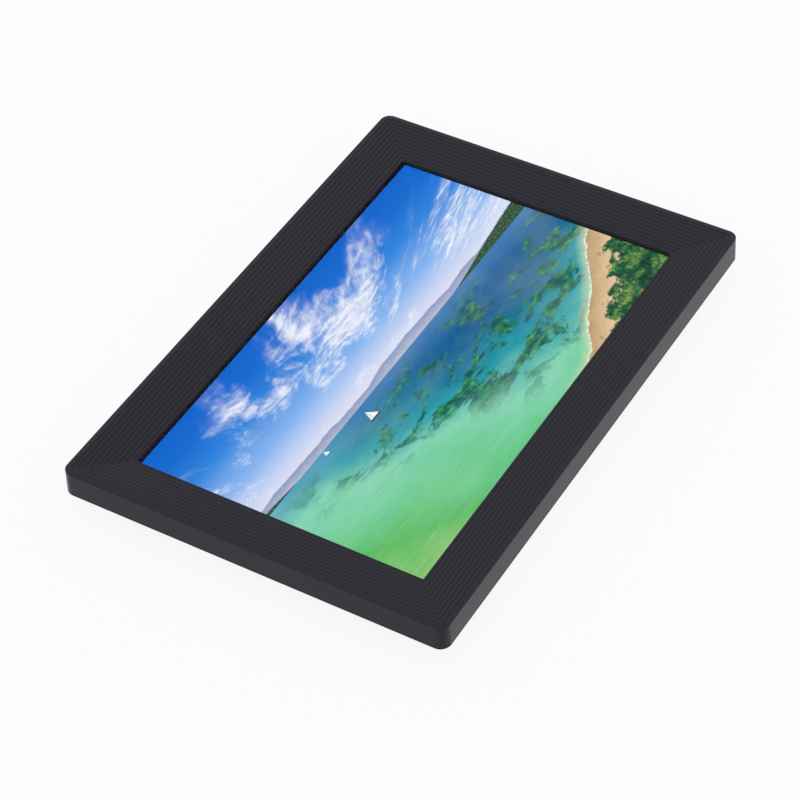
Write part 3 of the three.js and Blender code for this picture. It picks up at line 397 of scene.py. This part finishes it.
def picture_hills(tree, u, v, scene):
    """Low hills in haze, and a wooded point that thins out over the water."""
    ridge = picture_noise(tree, u, v, 1.3, wide=1.0, tall=0.0, scale=6.5, detail=6.0, roughness=0.5)
    peak = ridge * 0.055 + (HORIZON_SHARE - 0.012)
    depth = (peak - v) / 0.04
    rock = picture_noise(tree, u, v, 0.4, tall=2.0, scale=30.0, detail=6.0, roughness=0.6)
    slope = ramp(
        tree,
        depth + rock * 0.8 - 0.4,
        [(0.0, colour(120, 140, 184)), (0.5, colour(150, 164, 196)), (1.0, colour(186, 188, 204))],
    )
    scene = blend(tree, (v - peak).step(0.002, -0.002) * 0.85, scene, slope)
    lift = (u - 0.10).step(0.0, 0.46) * 0.052 + (u + 0.30).step(0.0, -0.24) * 0.018
    twigs = picture_noise(tree, u, v, 5.1, tall=0.0, scale=70.0, detail=6.0, roughness=0.7) * lift * 0.5
    wood_top = lift + twigs + (HORIZON_SHARE - 0.022)
    crown = picture_noise(tree, u, v, 2.2, tall=1.6, scale=85.0, detail=5.0, roughness=0.65)
    leaf = ramp(
        tree,
        crown,
        [(0.30, colour(22, 50, 48)), (0.50, colour(48, 84, 62)), (0.74, colour(112, 134, 84))],
    )
    return blend(tree, (v - wood_top).step(0.0015, -0.0015), scene, leaf)


def picture_water(tree, u, v, shore):
    """Clear shallows that deepen away from the shore, with weed on the bed and small waves."""
    near = (v * -1.0 + (HORIZON_SHARE + 0.04)).math("MAXIMUM", 0.004)
    reach = near.math("POWER", -1.0)
    swirl = picture_noise(tree, u, v, 6.2, tall=1.5, scale=3.4, detail=6.0, roughness=0.55) - 0.5
    depth = shore * 1.05 + u * 0.75 + swirl * 0.30 + 0.30
    water = ramp(
        tree,
        depth,
        [
            (0.0, colour(140, 200, 110)),
            (0.15, colour(92, 186, 98)),
            (0.32, colour(104, 200, 138)),
            (0.48, colour(132, 212, 180)),
            (0.62, colour(36, 156, 168)),
            (0.78, colour(2, 96, 146)),
            (1.0, colour(0, 70, 146)),
        ],
    )
    haze = (v - HORIZON_SHARE).step(-0.12, -0.01)
    water = blend(tree, haze * 0.38, water, colour(84, 158, 220))
    bed = picture_noise(tree, u, v, 9.4, tall=2.4, scale=5.0, detail=8.0, roughness=0.62, distortion=0.7)
    fronds = picture_noise(tree, u, v, 1.5, tall=2.2, scale=40.0, detail=6.0, roughness=0.7)
    patch = (bed + (fronds - 0.5) * 0.22).step(0.49, 0.56) * depth.step(0.42, 0.60) * haze.rest()
    weed = ramp(
        tree,
        picture_noise(tree, u, v, 4.0, tall=2.2, scale=22.0, detail=7.0, roughness=0.68),
        [
            (0.34, colour(2, 42, 66)),
            (0.47, colour(8, 84, 76)),
            (0.57, colour(46, 138, 68)),
            (0.70, colour(130, 184, 76)),
        ],
    )
    water = blend(tree, patch * 0.9, water, weed)
    light = picture_noise(tree, u, v, 7.1, tall=2.0, scale=3.0, detail=3.0, roughness=0.5)
    water = blend(tree, light.step(0.40, 0.72) * 0.10, water, colour(206, 236, 206))
    ground = vector_of(tree, u * reach * 3.0, reach * 16.0, 0.0)
    ripple = noise(tree, ground, scale=1.0, detail=5.0, roughness=0.62)
    water = blend(tree, ripple.step(0.54, 0.78) * 0.12, water, colour(238, 246, 248))
    return blend(tree, ripple.step(0.46, 0.24) * 0.14, water, colour(8, 60, 84))


def picture_land(tree, u, v, shore):
    """Sand that dries away from the water, with low bushes on it."""
    grain = picture_noise(tree, u, v, 1.0, scale=240.0, detail=4.0, roughness=0.7)
    drift = picture_noise(tree, u, v, 8.2, tall=2.0, scale=14.0, detail=5.0, roughness=0.6)
    sand = ramp(
        tree,
        shore * -7.0 + drift * 0.5 - 0.12,
        [(0.0, colour(168, 140, 108)), (0.22, colour(206, 170, 126)), (0.7, colour(232, 204, 164))],
    )
    sand = blend(tree, grain.step(0.35, 0.65) * 0.22, sand, colour(150, 118, 84))
    clump = picture_noise(tree, u, v, 1.9, tall=1.5, scale=12.0, detail=7.0, roughness=0.66)
    bushes = (shore * -6.5 + clump * 2.2 - 1.38).step(0.16, 0.30)
    blades = picture_noise(tree, u, v, 7.7, wide=2.0, scale=48.0, detail=6.0, roughness=0.74)
    patches = picture_noise(tree, u, v, 3.3, tall=1.5, scale=16.0, detail=4.0, roughness=0.6)
    leaf = ramp(
        tree,
        blades * 0.55 + patches * 0.55 - 0.05,
        [(0.38, colour(6, 40, 44)), (0.50, colour(30, 92, 60)), (0.64, colour(134, 170, 80))],
    )
    return blend(tree, bushes, sand, leaf)


def picture_shore(tree, u, v, scene):
    """The lake, with its near shore in one lower corner of the picture."""
    bend = picture_noise(tree, u, v, 2.9, wide=1.0, tall=0.5, scale=3.4, detail=4.0, roughness=0.5) * 0.15
    fine = (picture_noise(tree, u, v, 5.5, tall=1.6, scale=16.0, detail=6.0, roughness=0.62) - 0.5) * 0.030
    line = (u - 0.02).step(-0.10, 0.74) * 0.44 + (bend - 0.63)
    shore = v - line + fine
    water = picture_water(tree, u, v, shore)
    land = picture_land(tree, u, v, shore)
    froth = picture_noise(tree, u, v, 0.8, tall=1.6, scale=60.0, detail=5.0, roughness=0.7)
    shallow = shore.step(0.050, 0.0)
    water = blend(tree, shallow * 0.72, water, colour(206, 222, 178))
    lace = (shore - 0.004).math("ABSOLUTE").step(0.0065, 0.0015) * froth.step(0.40, 0.58)
    both = blend(tree, shore.step(-0.0015, 0.0025), land, water)
    both = blend(tree, lace * 0.8, both, colour(248, 250, 246))
    return blend(tree, (v - (HORIZON_SHARE - 0.014)).step(0.0015, -0.0015), scene, both)


def sail(tree, u, v, scene, place_share, foot_share, size_share):
    """A small boat with a sail and a jib, far out on the water."""
    rise = (v - foot_share) / size_share
    across = (u - place_share) / size_share
    inside = rise.step(0.06, 0.08) * rise.step(1.0, 0.98)
    cloth = inside * (across + rise * 0.42 - 0.40).step(0.02, -0.01) * (across + 0.02).step(-0.02, 0.01)
    jib = inside * (across + 0.34 - rise * 0.34).step(-0.02, 0.01) * (across + 0.05).step(0.02, -0.01)
    hull = rise.step(-0.10, -0.08) * rise.step(0.05, 0.03) * (across * across).step(0.20, 0.16)
    scene = blend(tree, cloth, scene, colour(252, 250, 244))
    scene = blend(tree, jib, scene, colour(226, 232, 240))
    return blend(tree, hull, scene, colour(70, 62, 70))


def on_picture(place):
    """1 where a place across or up the picture is on it, and 0 beside it."""
    return place.math("ABSOLUTE").step(0.5 + PICTURE_FEATHER_SHARE, 0.5 - PICTURE_FEATHER_SHARE)


def picture_material():
    """The lit panel: a made-up lakeside view, and the black edge of the panel around it."""
    material, tree, shader = new_material(
        "lit_panel", roughness=0.35, specular_ior_level=0.03, emission_strength=1.0
    )
    x, y, _ = numbers_of(tree, position(tree))
    u = (x - PICTURE_SHIFT[0] * MM) / (PICTURE_WIDTH * MM)
    v = (y - PICTURE_SHIFT[1] * MM) / (PICTURE_HEIGHT * MM)
    facing = numbers_of(tree, put(tree, "NewGeometry").outputs["Normal"])[2].step(0.5, 0.6)
    window = on_picture(u) * on_picture(v) * facing
    scene = picture_sky(tree, u, v)
    scene = picture_hills(tree, u, v, scene)
    scene = picture_shore(tree, u, v, scene)
    scene = sail(tree, u, v, scene, place_share=-0.18, foot_share=-0.030, size_share=0.040)
    scene = sail(tree, u, v, scene, place_share=-0.31, foot_share=0.014, size_share=0.020)
    ground = blend(tree, window, PANEL_EDGE_TINT, PANEL_FACE_TINT)
    give(tree, shader.inputs["Base Color"], ground)
    give(tree, shader.inputs["Emission Color"], blend(tree, window, BLACK, scene))
    return material


def clear_glass():
    """The cover glass, which bends and mirrors very little, with a faint smear."""
    material, tree, shader = new_material("clear_glass", roughness=0.0, ior=1.05, transmission_weight=1.0)
    smear = noise(tree, position(tree), scale=55.0, detail=4.0, roughness=0.6)
    give(tree, shader.inputs["Base Color"], blend(tree, smear, (0.985, 0.99, 0.99, 1.0), WHITE))
    return material


def rubber(name, base, scale=3000.0):
    """Matt rubber with a pale bloom and a fine grain."""
    material, tree, shader = new_material(name, specular_ior_level=0.25)
    place = position(tree)
    bloom = noise(tree, place, scale=160.0, detail=4.0, roughness=0.6)
    give(tree, shader.inputs["Base Color"], blend(tree, bloom, *shades(base, 0.8, 1.35)))
    give(tree, shader.inputs["Roughness"], bloom * 0.15 + 0.74)
    add_bump(tree, shader, noise(tree, place, scale=scale, detail=3.0), distance=0.00005, strength=0.5)
    return material


def foam(name):
    """Black foam with open cells, with painted shade in the pits that its bump sinks."""
    material, tree, shader = new_material(name, roughness=0.95, specular_ior_level=0.1)
    distance, _ = cells(tree, 2600.0)
    # Painted shade: the colour darkens towards each cell's middle, where the bump below sinks a pit.
    shade = blend(tree, distance, (0.006, 0.006, 0.007, 1.0), (0.02, 0.02, 0.022, 1.0))
    give(tree, shader.inputs["Base Color"], shade)
    add_bump(tree, shader, distance, distance=0.0001, strength=0.7)
    return material


def brushed_metal(name, base, roughness, along=(40.0, 1400.0, 1400.0)):
    """Metal with fine lines, which run long in the direction with the smallest scale."""
    material, tree, shader = new_material(name, metallic=1.0)
    place = position(tree)
    lines = noise(tree, stretched(tree, place, along), scale=1.0, detail=4.0, roughness=0.6)
    stain = noise(tree, place, scale=90.0, detail=3.0)
    shade = blend(tree, (lines + stain) * 0.5, *shades(base, 0.82, 1.0))
    give(tree, shader.inputs["Base Color"], shade)
    give(tree, shader.inputs["Roughness"], lines * 0.16 + (roughness - 0.08))
    add_bump(tree, shader, lines, distance=0.000012, strength=0.4)
    return material


def circuit_board(name):
    """Green lacquer over copper lines and pads."""
    material, tree, shader = new_material(name, specular_ior_level=0.5)
    place = position(tree)
    warped = noise(tree, place, scale=130.0, detail=1.0)
    bricks = {"Vector": place, "Scale": 240.0, "Mortar Size": 0.05, "Color1": BLACK, "Color2": WHITE}
    tracks = put(tree, "TexBrick", bricks)
    tracks.offset = 0.37
    line = Signal(tree, tracks.outputs["Fac"])
    mask = line * warped.step(0.42, 0.5)
    lacquer = blend(tree, mask, colour(18, 84, 52), colour(40, 118, 70))
    distance, chance = cells(tree, 420.0, randomness=0.7)
    pad = distance.step(0.16, 0.12) * chance.step(0.80, 0.82)
    give(tree, shader.inputs["Base Color"], blend(tree, pad, lacquer, colour(196, 190, 176)))
    give(tree, shader.inputs["Roughness"], pad * -0.1 + 0.38)
    add_bump(tree, shader, mask + pad, distance=0.00003, strength=0.5)
    return material


def chip_resin(name):
    """The matt black resin that chips are cast in."""
    material, tree, shader = new_material(name, specular_ior_level=0.4)
    place = position(tree)
    fleck = noise(tree, place, scale=3800.0, detail=3.0, roughness=0.7)
    shade = blend(tree, fleck, (0.009, 0.009, 0.01, 1.0), (0.022, 0.022, 0.024, 1.0))
    give(tree, shader.inputs["Base Color"], shade)
    give(tree, shader.inputs["Roughness"], fleck * 0.12 + 0.42)
    add_bump(tree, shader, fleck, distance=0.00003, strength=0.6)
    return material


def pale_plastic(name, base):
    """Light plastic with a soft mottle."""
    material, tree, shader = new_material(name, specular_ior_level=0.45)
    place = position(tree)
    mottle = noise(tree, place, scale=420.0, detail=3.0)
    give(tree, shader.inputs["Base Color"], blend(tree, mottle, *shades(base, 0.9, 1.0)))
    give(tree, shader.inputs["Roughness"], mottle * 0.12 + 0.40)
    add_bump(tree, shader, noise(tree, place, scale=4200.0, detail=2.0), distance=0.00002, strength=0.4)
    return material


def light_guide_acrylic(name):
    """Clear sheet with the printed dots that spread its light."""
    material, tree, shader = new_material(name, roughness=0.12, transmission_weight=0.6, ior=1.49)
    distance, _ = cells(tree, 900.0, randomness=0.0)
    dots = distance.step(0.30, 0.24)
    shade = blend(tree, dots, colour(222, 232, 238), colour(250, 250, 250))
    give(tree, shader.inputs["Base Color"], shade)
    add_bump(tree, shader, dots, distance=0.00002, strength=0.5)
    return material


def film_ribbon(name):
    """Amber film over copper lines that run along it."""
    material, tree, shader = new_material(name, specular_ior_level=0.5)
    place = position(tree)
    lines = (numbers_of(tree, place)[0] * 1400.0).math("FRACT").step(0.35, 0.5)
    haze = noise(tree, place, scale=240.0, detail=3.0)
    film = blend(tree, lines, colour(150, 84, 26), colour(206, 132, 48))
    give(tree, shader.inputs["Base Color"], blend(tree, haze * 0.3, film, colour(120, 62, 20)))
    give(tree, shader.inputs["Roughness"], haze * 0.15 + 0.30)
    add_bump(tree, shader, lines, distance=0.00001, strength=0.4)
    return material


# Pieces.


def add_object(name, data):
    """A new object in the scene."""
    thing = bpy.data.objects.new(name, data)
    bpy.context.scene.collection.objects.link(thing)
    return thing


def piece_object(name, shape, material, body):
    """A piece from a finished shape, smooth apart from its sharp edges."""
    mesh = bpy.data.meshes.new(name)
    shape.normal_update()
    bmesh.ops.recalc_face_normals(shape, faces=shape.faces)
    sharp = math.radians(SMOOTH_ANGLE)
    for face in shape.faces:
        face.smooth = True
    for edge in shape.edges:
        edge.smooth = len(edge.link_faces) != 2 or edge.calc_face_angle(0.0) < sharp
    shape.to_mesh(mesh)
    shape.free()
    mesh.materials.append(material)
    piece = add_object(name, mesh)
    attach(piece, body)
    return piece


def outline_stations():
    """Where the profile is set along the outline: a corner, a share of its turn, and a shift past it."""
    stations = []
    for corner in range(4):
        stations.append((corner, 0.0, -CORNER_LEAD))
        stations += [(corner, step / CORNER_STEPS, 0.0) for step in range(CORNER_STEPS + 1)]
        stations.append((corner, 1.0, CORNER_LEAD))
    return stations


def outline_point(inset, station):
    """The place of a station on the outline drawn in by an inset."""
    corner, turn_share, shift = station
    radius = max(OUTER_RADIUS - inset, INNER_RADIUS)
    sign_x = 1 if corner in (0, 3) else -1
    sign_y = 1 if corner < 2 else -1
    angle = (corner + turn_share) * math.pi / 2
    along = (-math.sin(angle), math.cos(angle))
    x = sign_x * (FRAME_WIDTH / 2 - inset - radius) + radius * math.cos(angle) + shift * along[0]
    y = sign_y * (FRAME_HEIGHT / 2 - inset - radius) + radius * math.sin(angle) + shift * along[1]
    return x, y


def face_height(inset):
    """How high the sloping face lies without its flutes."""
    slope = (CREST_Z - LIP_Z) / (BEZEL_WIDTH - FLUTE_INSET)
    return CREST_Z - (inset - FLUTE_INSET) * slope


def arc(centre, radius, start, end, steps):
    """Places along a part of a circle, between two angles in degrees."""
    for step in range(steps + 1):
        angle = math.radians(start + (end - start) * step / steps)
        yield centre[0] + radius * math.cos(angle), centre[1] + radius * math.sin(angle)


def groove_points():
    """The V of a flute with eased shoulders, as places across it and depths."""
    half = [
        (FLUTE_FLOOR, FLOOR_DEPTH_SHARE * FLUTE_DEPTH),
        (FLUTE_HALF - FLUTE_SHOULDER, FLANK_DEPTH_SHARE * FLUTE_DEPTH),
        (FLUTE_HALF, BROW_DEPTH_SHARE * FLUTE_DEPTH),
        (FLUTE_HALF + FLUTE_SHOULDER, 0.0),
    ]
    mirrored = [(-across, depth) for across, depth in reversed(half)]
    return [*mirrored, (0.0, FLUTE_DEPTH), *half]


def ridge_rows(middle):
    """The low crown of the ridge between two flutes."""
    half_land = FLUTE_PITCH / 2 - FLUTE_HALF - FLUTE_SHOULDER
    for share in RIDGE_SHARES:
        inset = middle + share * half_land
        yield inset, face_height(inset) + RIDGE_CROWN * (1 - share * share)


def flute_rows():
    """The fluted face: a groove for each flute, and a ridge between each two."""
    rows = []
    top_z = face_height(FLUTE_INSET - FLUTE_HALF)
    for flute in range(FLUTE_COUNT):
        middle = FLUTE_INSET + flute * FLUTE_PITCH
        for across, depth in groove_points():
            rows.append((middle + across, min(face_height(middle + across), top_z) - depth))
        if flute < FLUTE_COUNT - 1:
            rows += ridge_rows(middle + FLUTE_PITCH / 2)
    return rows


def band_row(share):
    """A place on the plain band between the outer edge and the first flute."""
    start = WALL_DRAFT + EDGE_ROUND
    first = FLUTE_INSET - FLUTE_HALF - FLUTE_SHOULDER
    height = face_height(FLUTE_INSET - FLUTE_HALF) - RIM_TOP_Z
    return start + share * (first - start), RIM_TOP_Z + share * height


def wall_row(z, depth=0.0):
    """A place on the side wall, which leans in by its draft as it rises."""
    return depth + WALL_DRAFT * (z - RIM_BACK_Z) / (RIM_TOP_Z - RIM_BACK_Z), z


def bezel_rows():
    """The bezel's profile, once around its section: insets from the outline, and heights."""
    back_middle = (BACK_ROUND, RIM_BACK_Z + BACK_ROUND)
    edge_middle = (WALL_DRAFT + EDGE_ROUND, RIM_TOP_Z - EDGE_ROUND)
    lip_middle = (BEZEL_WIDTH - LIP_ROUND, face_height(BEZEL_WIDTH - LIP_ROUND) - LIP_ROUND)
    nose_inset = BEZEL_WIDTH + LIP_DRAFT - LIP_LAND / 2
    nose_middle = (nose_inset, LIP_BACK_Z + LIP_LAND / 2)
    return [
        *arc(back_middle, BACK_ROUND, start=270, end=180, steps=3),
        wall_row(PARTING_Z - PARTING_DEPTH),
        wall_row(PARTING_Z, PARTING_DEPTH),
        wall_row(PARTING_Z + PARTING_DEPTH),
        wall_row(PARTING_Z + SUPPORT),
        wall_row(RIM_TOP_Z - EDGE_ROUND - SUPPORT),
        *arc(edge_middle, EDGE_ROUND, start=180, end=97, steps=6),
        *(band_row(share) for share in BAND_SHARES),
        *flute_rows(),
        *arc(lip_middle, LIP_ROUND, start=78, end=36, steps=4),
        *arc(nose_middle, LIP_LAND / 2, start=36, end=-45, steps=3),
        (nose_inset, LIP_BACK_Z),
        (POCKET_INSET, LIP_BACK_Z),
        (POCKET_INSET, POCKET_BACK_Z),
        (POCKET_WALL_INSET, POCKET_BACK_Z),
        (POCKET_WALL_INSET, UNDERSIDE_INNER_Z),
        (WALL, UNDERSIDE_OUTER_Z),
        (WALL, RIM_BACK_Z),
    ]


def add_point(shape, x, y, z):
    """A corner of a shape, at a place in millimetres."""
    return shape.verts.new(Vector((x, y, z)) * MM)


def add_ring(shape, x, y, z, radius, sides):
    """The corners of a level circle."""
    angles = [2 * math.pi * side / sides for side in range(sides)]
    return [add_point(shape, x + radius * math.cos(a), y + radius * math.sin(a), z) for a in angles]


def join_rings(shape, rings, closed):
    """Faces between each ring of corners and the next, and from the last to the first if closed."""
    last = len(rings) if closed else len(rings) - 1
    for index in range(last):
        first, second = rings[index], rings[(index + 1) % len(rings)]
        for side in range(len(first)):
            after = (side + 1) % len(first)
            shape.faces.new((first[side], first[after], second[after], second[side]))


def add_boss(shape, x, y):
    """A tube that a case screw goes into."""
    section = (
        (BOSS_RADIUS, BOSS_BASE_Z),
        (BOSS_RADIUS, BOSS_TOP_Z),
        (BOSS_BORE, BOSS_TOP_Z),
        (BOSS_BORE, BOSS_BASE_Z),
    )
    rings = [add_ring(shape, x, y, z, radius, BOSS_SIDES) for radius, z in section]
    join_rings(shape, rings, closed=True)


def notch_stations():
    """Places along the +X side where the pocket's wall is notched, and whether each is in the notch."""
    low, high = NOTCH_Y - NOTCH_HALF, NOTCH_Y + NOTCH_HALF
    return [(low - NOTCH_HAIR, False), (low, True), (high, True), (high + NOTCH_HAIR, False)]


def make_bezel(material):
    """The dished and fluted moulding round the screen, with its pocket and screw bosses behind."""
    shape = bmesh.new()
    rings = []
    for inset, z in bezel_rows():
        ring = []
        for y, notched in notch_stations():
            height = NOTCH_TOP_Z if notched and z == POCKET_BACK_Z else z
            ring.append(add_point(shape, FRAME_WIDTH / 2 - inset, y, height))
        for station in outline_stations():
            ring.append(add_point(shape, *outline_point(inset, station), z))
        rings.append(ring)
    join_rings(shape, rings, closed=True)
    x = FRAME_WIDTH / 2 - SCREW_INSET
    y = FRAME_HEIGHT / 2 - SCREW_INSET
    for place in ((-x, -y), (0, -y), (x, -y), (x, y), (0, y), (-x, y)):
        add_boss(shape, *place)
    bezel = piece_object("bezel", shape, material, "frame")
    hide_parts("front_bezel")


def make_foot(node, material):
    """A turned rubber pad with a rounded edge and a shallow dish in its face."""
    low, high = (Vector(corner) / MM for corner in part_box(node))
    x, y, _ = (low + high) / 2
    radius = (high.x - low.x) / 2
    profile = [
        (FOOT_HUB, FOOT_HUB_DEPTH),
        (radius * FOOT_FLOOR_SHARE, FOOT_FLOOR_DEPTH),
        (radius * FOOT_SLOPE_SHARE, FOOT_SLOPE_DEPTH),
        (radius * FOOT_RIM_SHARE, 0.0),
        (radius - FOOT_ROUND, 0.0),
        (radius - FOOT_CHAMFER, FOOT_CHAMFER),
        (radius, FOOT_ROUND),
        (radius, high.z),
        (FOOT_HUB, high.z),
    ]
    shape = bmesh.new()
    rings = [add_ring(shape, x, y, z, size, FOOT_SIDES) for size, z in profile]
    join_rings(shape, rings, closed=False)
    shape.faces.new(rings[0])
    shape.faces.new(rings[-1])
    foot = piece_object("pad_" + node.rsplit("_", 1)[1], shape, material, "frame")
    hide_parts(node)


def ease_edges(piece, width, segments):
    """Rounds a carried-over piece's edges. The clamp narrows a round that its mesh can't take."""
    weld = piece.modifiers.new("weld", "WELD")
    weld.merge_threshold = WELD_GAP * MM
    bevel = piece.modifiers.new("edges", "BEVEL")
    bevel.width = width * MM
    bevel.segments = segments
    bevel.limit_method = "ANGLE"
    bevel.angle_limit = math.radians(EASED_ANGLE)
    bevel.miter_outer = "MITER_ARC"
    bevel.harden_normals = True


def dress(material, *names, edge=0.0, segments=2):
    """Gives carried-over nodes a material, and rounded edges of at most a width in millimetres."""
    for name in names:
        piece = nodes[name]
        for slot in piece.material_slots:
            slot.material = material
        if edge:
            ease_edges(piece, edge, segments)


def numbered(stem, count):
    """The names of nodes that are numbered from 1."""
    return [f"{stem}_{number}" for number in range(1, count + 1)]


def dress_case():
    """The bezel, the rear cover, the stand, the button and the rubber feet."""
    casing = moulded_plastic("casing_plastic", (0.0062, 0.0062, 0.0118), 0.22, dust_share=0.05)
    cover = moulded_plastic("cover_plastic", (0.0080, 0.0081, 0.0110), 0.44, grain=3600.0)
    stand = moulded_plastic("stand_plastic", (0.0090, 0.0091, 0.0122), 0.38, grain=4200.0)
    key = moulded_plastic("button_plastic", (0.0060, 0.0060, 0.0080), 0.26)
    pad = rubber("foot_rubber", (0.012, 0.012, 0.013))
    make_bezel(casing)
    for name in numbered("rubber_foot", 4):
        make_foot(name, pad)
    dress(cover, "rear_cover")
    dress(stand, "kickstand", edge=0.30)
    dress(pad, "kickstand_foot", edge=0.35, segments=3)
    dress(key, "power_button", edge=0.25)


def dress_screen():
    """The glass, the lit panel and the sheets behind it."""
    film = pale_plastic("white_film", (0.84, 0.85, 0.86))
    dress(clear_glass(), "touch_glass")
    dress(picture_material(), "lcd_cell")
    dress(foam("gasket_foam"), "dust_gasket")
    dress(film, "diffuser_sheet", "reflector_sheet", "led_strip")
    dress(light_guide_acrylic("guide_acrylic"), "light_guide")


def dress_metal():
    """The screws, the pins, the panel's tray and what sits in a steel can."""
    black_steel = brushed_metal("black_steel", (0.045, 0.045, 0.048), 0.38, (600.0, 600.0, 600.0))
    plated = brushed_metal("plated_steel", (0.50, 0.50, 0.52), 0.30)
    pin = brushed_metal("pin_steel", (0.42, 0.42, 0.43), 0.24, (30.0, 1800.0, 1800.0))
    dress(black_steel, *numbered("case_screw", 6), edge=0.12)
    dress(plated, "panel_tray", "wifi_module", "power_socket", "card_socket", "power_switch")
    dress(pin, "hinge_pin_left", "hinge_pin_right", *numbered("board_screw", 4), edge=0.10)


def dress_electronics():
    """The boards with what sits on them, the speakers, the ribbons and the leads."""
    board = circuit_board("board_lacquer")
    resin = chip_resin("chip_resin")
    ivory = pale_plastic("socket_plastic", (0.62, 0.58, 0.48))
    ribbon = film_ribbon("ribbon_film")
    sleeve = rubber("lead_sleeve", (0.018, 0.018, 0.02), 2000.0)
    dress(board, "main_board", "panel_board", "antenna")
    dress(resin, "processor_chip", *numbered("memory_chip", 2), "flash_chip", "power_inductor")
    dress(resin, "speaker_left", "speaker_right")
    dress(ivory, "display_socket", "speaker_socket", "touch_socket", "switch_plunger")
    dress(ribbon, "display_ribbon", "touch_ribbon")
    dress(sleeve, "antenna_lead", "speaker_lead_left", "speaker_lead_right")


# The stage.


def seen_directly(tree, glossy_share):
    """1 for rays from the camera or through glass, this share for mirrored rays, else 0."""
    path = put(tree, "LightPath")
    camera = Signal(tree, path.outputs["Is Camera Ray"])
    glossy = Signal(tree, path.outputs["Is Glossy Ray"]) * glossy_share
    return camera.math("MAXIMUM", glossy).math("MAXIMUM", path.outputs["Is Transmission Ray"])


def floor_material():
    """White paper that glows for the camera, clear from below so that the frame's back can be seen."""
    material = bpy.data.materials.new("floor")
    tree = empty_tree(material)
    paper = put(tree, "BsdfDiffuse", {"Color": PAPER_TINT}).outputs[0]
    glow = put(tree, "Emission", {"Color": WHITE, "Strength": 1.0}).outputs[0]
    glow_share = seen_directly(tree, FLOOR_MIRRORED_SHARE) * FLOOR_GLOW_SHARE
    above = blend_shaders(tree, glow_share, paper, glow)
    clear = put(tree, "BsdfTransparent").outputs[0]
    below = put(tree, "NewGeometry").outputs["Backfacing"]
    put(tree, "OutputMaterial", {"Surface": blend_shaders(tree, below, above, clear)})
    return material


def make_floor():
    """A wide sheet of paper under the frame."""
    mesh = bpy.data.meshes.new("floor")
    half = FLOOR_HALF
    corners = [(-half, -half, 0), (half, -half, 0), (half, half, 0), (-half, half, 0)]
    mesh.from_pydata(corners, [], [(0, 1, 2, 3)])
    mesh.materials.append(floor_material())
    floor = add_object("floor", mesh)


def make_world():
    """An even white surround, a little dimmer low down and for light that falls on matt faces."""
    world = bpy.data.worlds.new("studio")
    bpy.context.scene.world = world
    tree = empty_tree(world)
    rise = numbers_of(tree, put(tree, "TexCoord").outputs["Generated"])[2]
    level = rise.step(*SURROUND_RISE) * SURROUND_GAIN + SURROUND_LEVEL
    mirrored = Signal(tree, put(tree, "LightPath").outputs["Is Glossy Ray"])
    level = level * (mirrored * (1.0 - SURROUND_MATT_SHARE) + SURROUND_MATT_SHARE)
    fill = put(tree, "Background", {"Color": SURROUND_TINT, "Strength": level}).outputs[0]
    white = put(tree, "Background", {"Color": WHITE, "Strength": 1.0}).outputs[0]
    surround = blend_shaders(tree, seen_directly(tree, 0.0), fill, white)
    put(tree, "OutputWorld", {"Surface": surround})


def make_lamp():
    """One broad soft lamp high above the frame, which faces its middle."""
    data = bpy.data.lights.new("top_lamp", "AREA")
    data.shape = "RECTANGLE"
    data.size = LAMP_SIDE
    data.size_y = LAMP_SIDE
    data.energy = LAMP_POWER
    lamp = add_object("top_lamp", data)
    lamp.location = LAMP_PLACE
    lamp.rotation_mode = "QUATERNION"
    lamp.rotation_quaternion = (-Vector(LAMP_PLACE)).to_track_quat("-Z", "Y")


def make_camera():
    """The photograph's camera, as solved from the frame's own straight lines."""
    azimuth, elevation, roll = (math.radians(a) for a in (VIEW_AZIMUTH, VIEW_ELEVATION, VIEW_ROLL))
    back_x = math.sin(azimuth) * math.cos(elevation)
    back_y = -math.cos(azimuth) * math.cos(elevation)
    back = Vector((back_x, back_y, math.sin(elevation)))
    level = Vector((math.cos(azimuth), math.sin(azimuth), 0.0))
    upright = back.cross(level)
    right = math.cos(roll) * level + math.sin(roll) * upright
    up = math.cos(roll) * upright - math.sin(roll) * level
    place = right * VIEW_RIGHT + up * VIEW_UP + back * VIEW_DISTANCE + Vector((0, 0, VIEW_BASE_Z))
    data = bpy.data.cameras.new("camera")
    data.sensor_width = SENSOR_WIDTH
    data.lens = LENS
    data.clip_start = CLIP_START
    data.clip_end = CLIP_END
    camera = add_object("camera", data)
    turn = Matrix((right, up, back)).transposed().to_4x4()
    camera.matrix_world = Matrix.Translation(place * MM) @ turn
    bpy.context.scene.camera = camera


make_camera()
dress_case()
dress_screen()
dress_metal()
dress_electronics()
make_floor()
make_world()
make_lamp()
bpy.context.scene.view_settings.view_transform = "Standard"
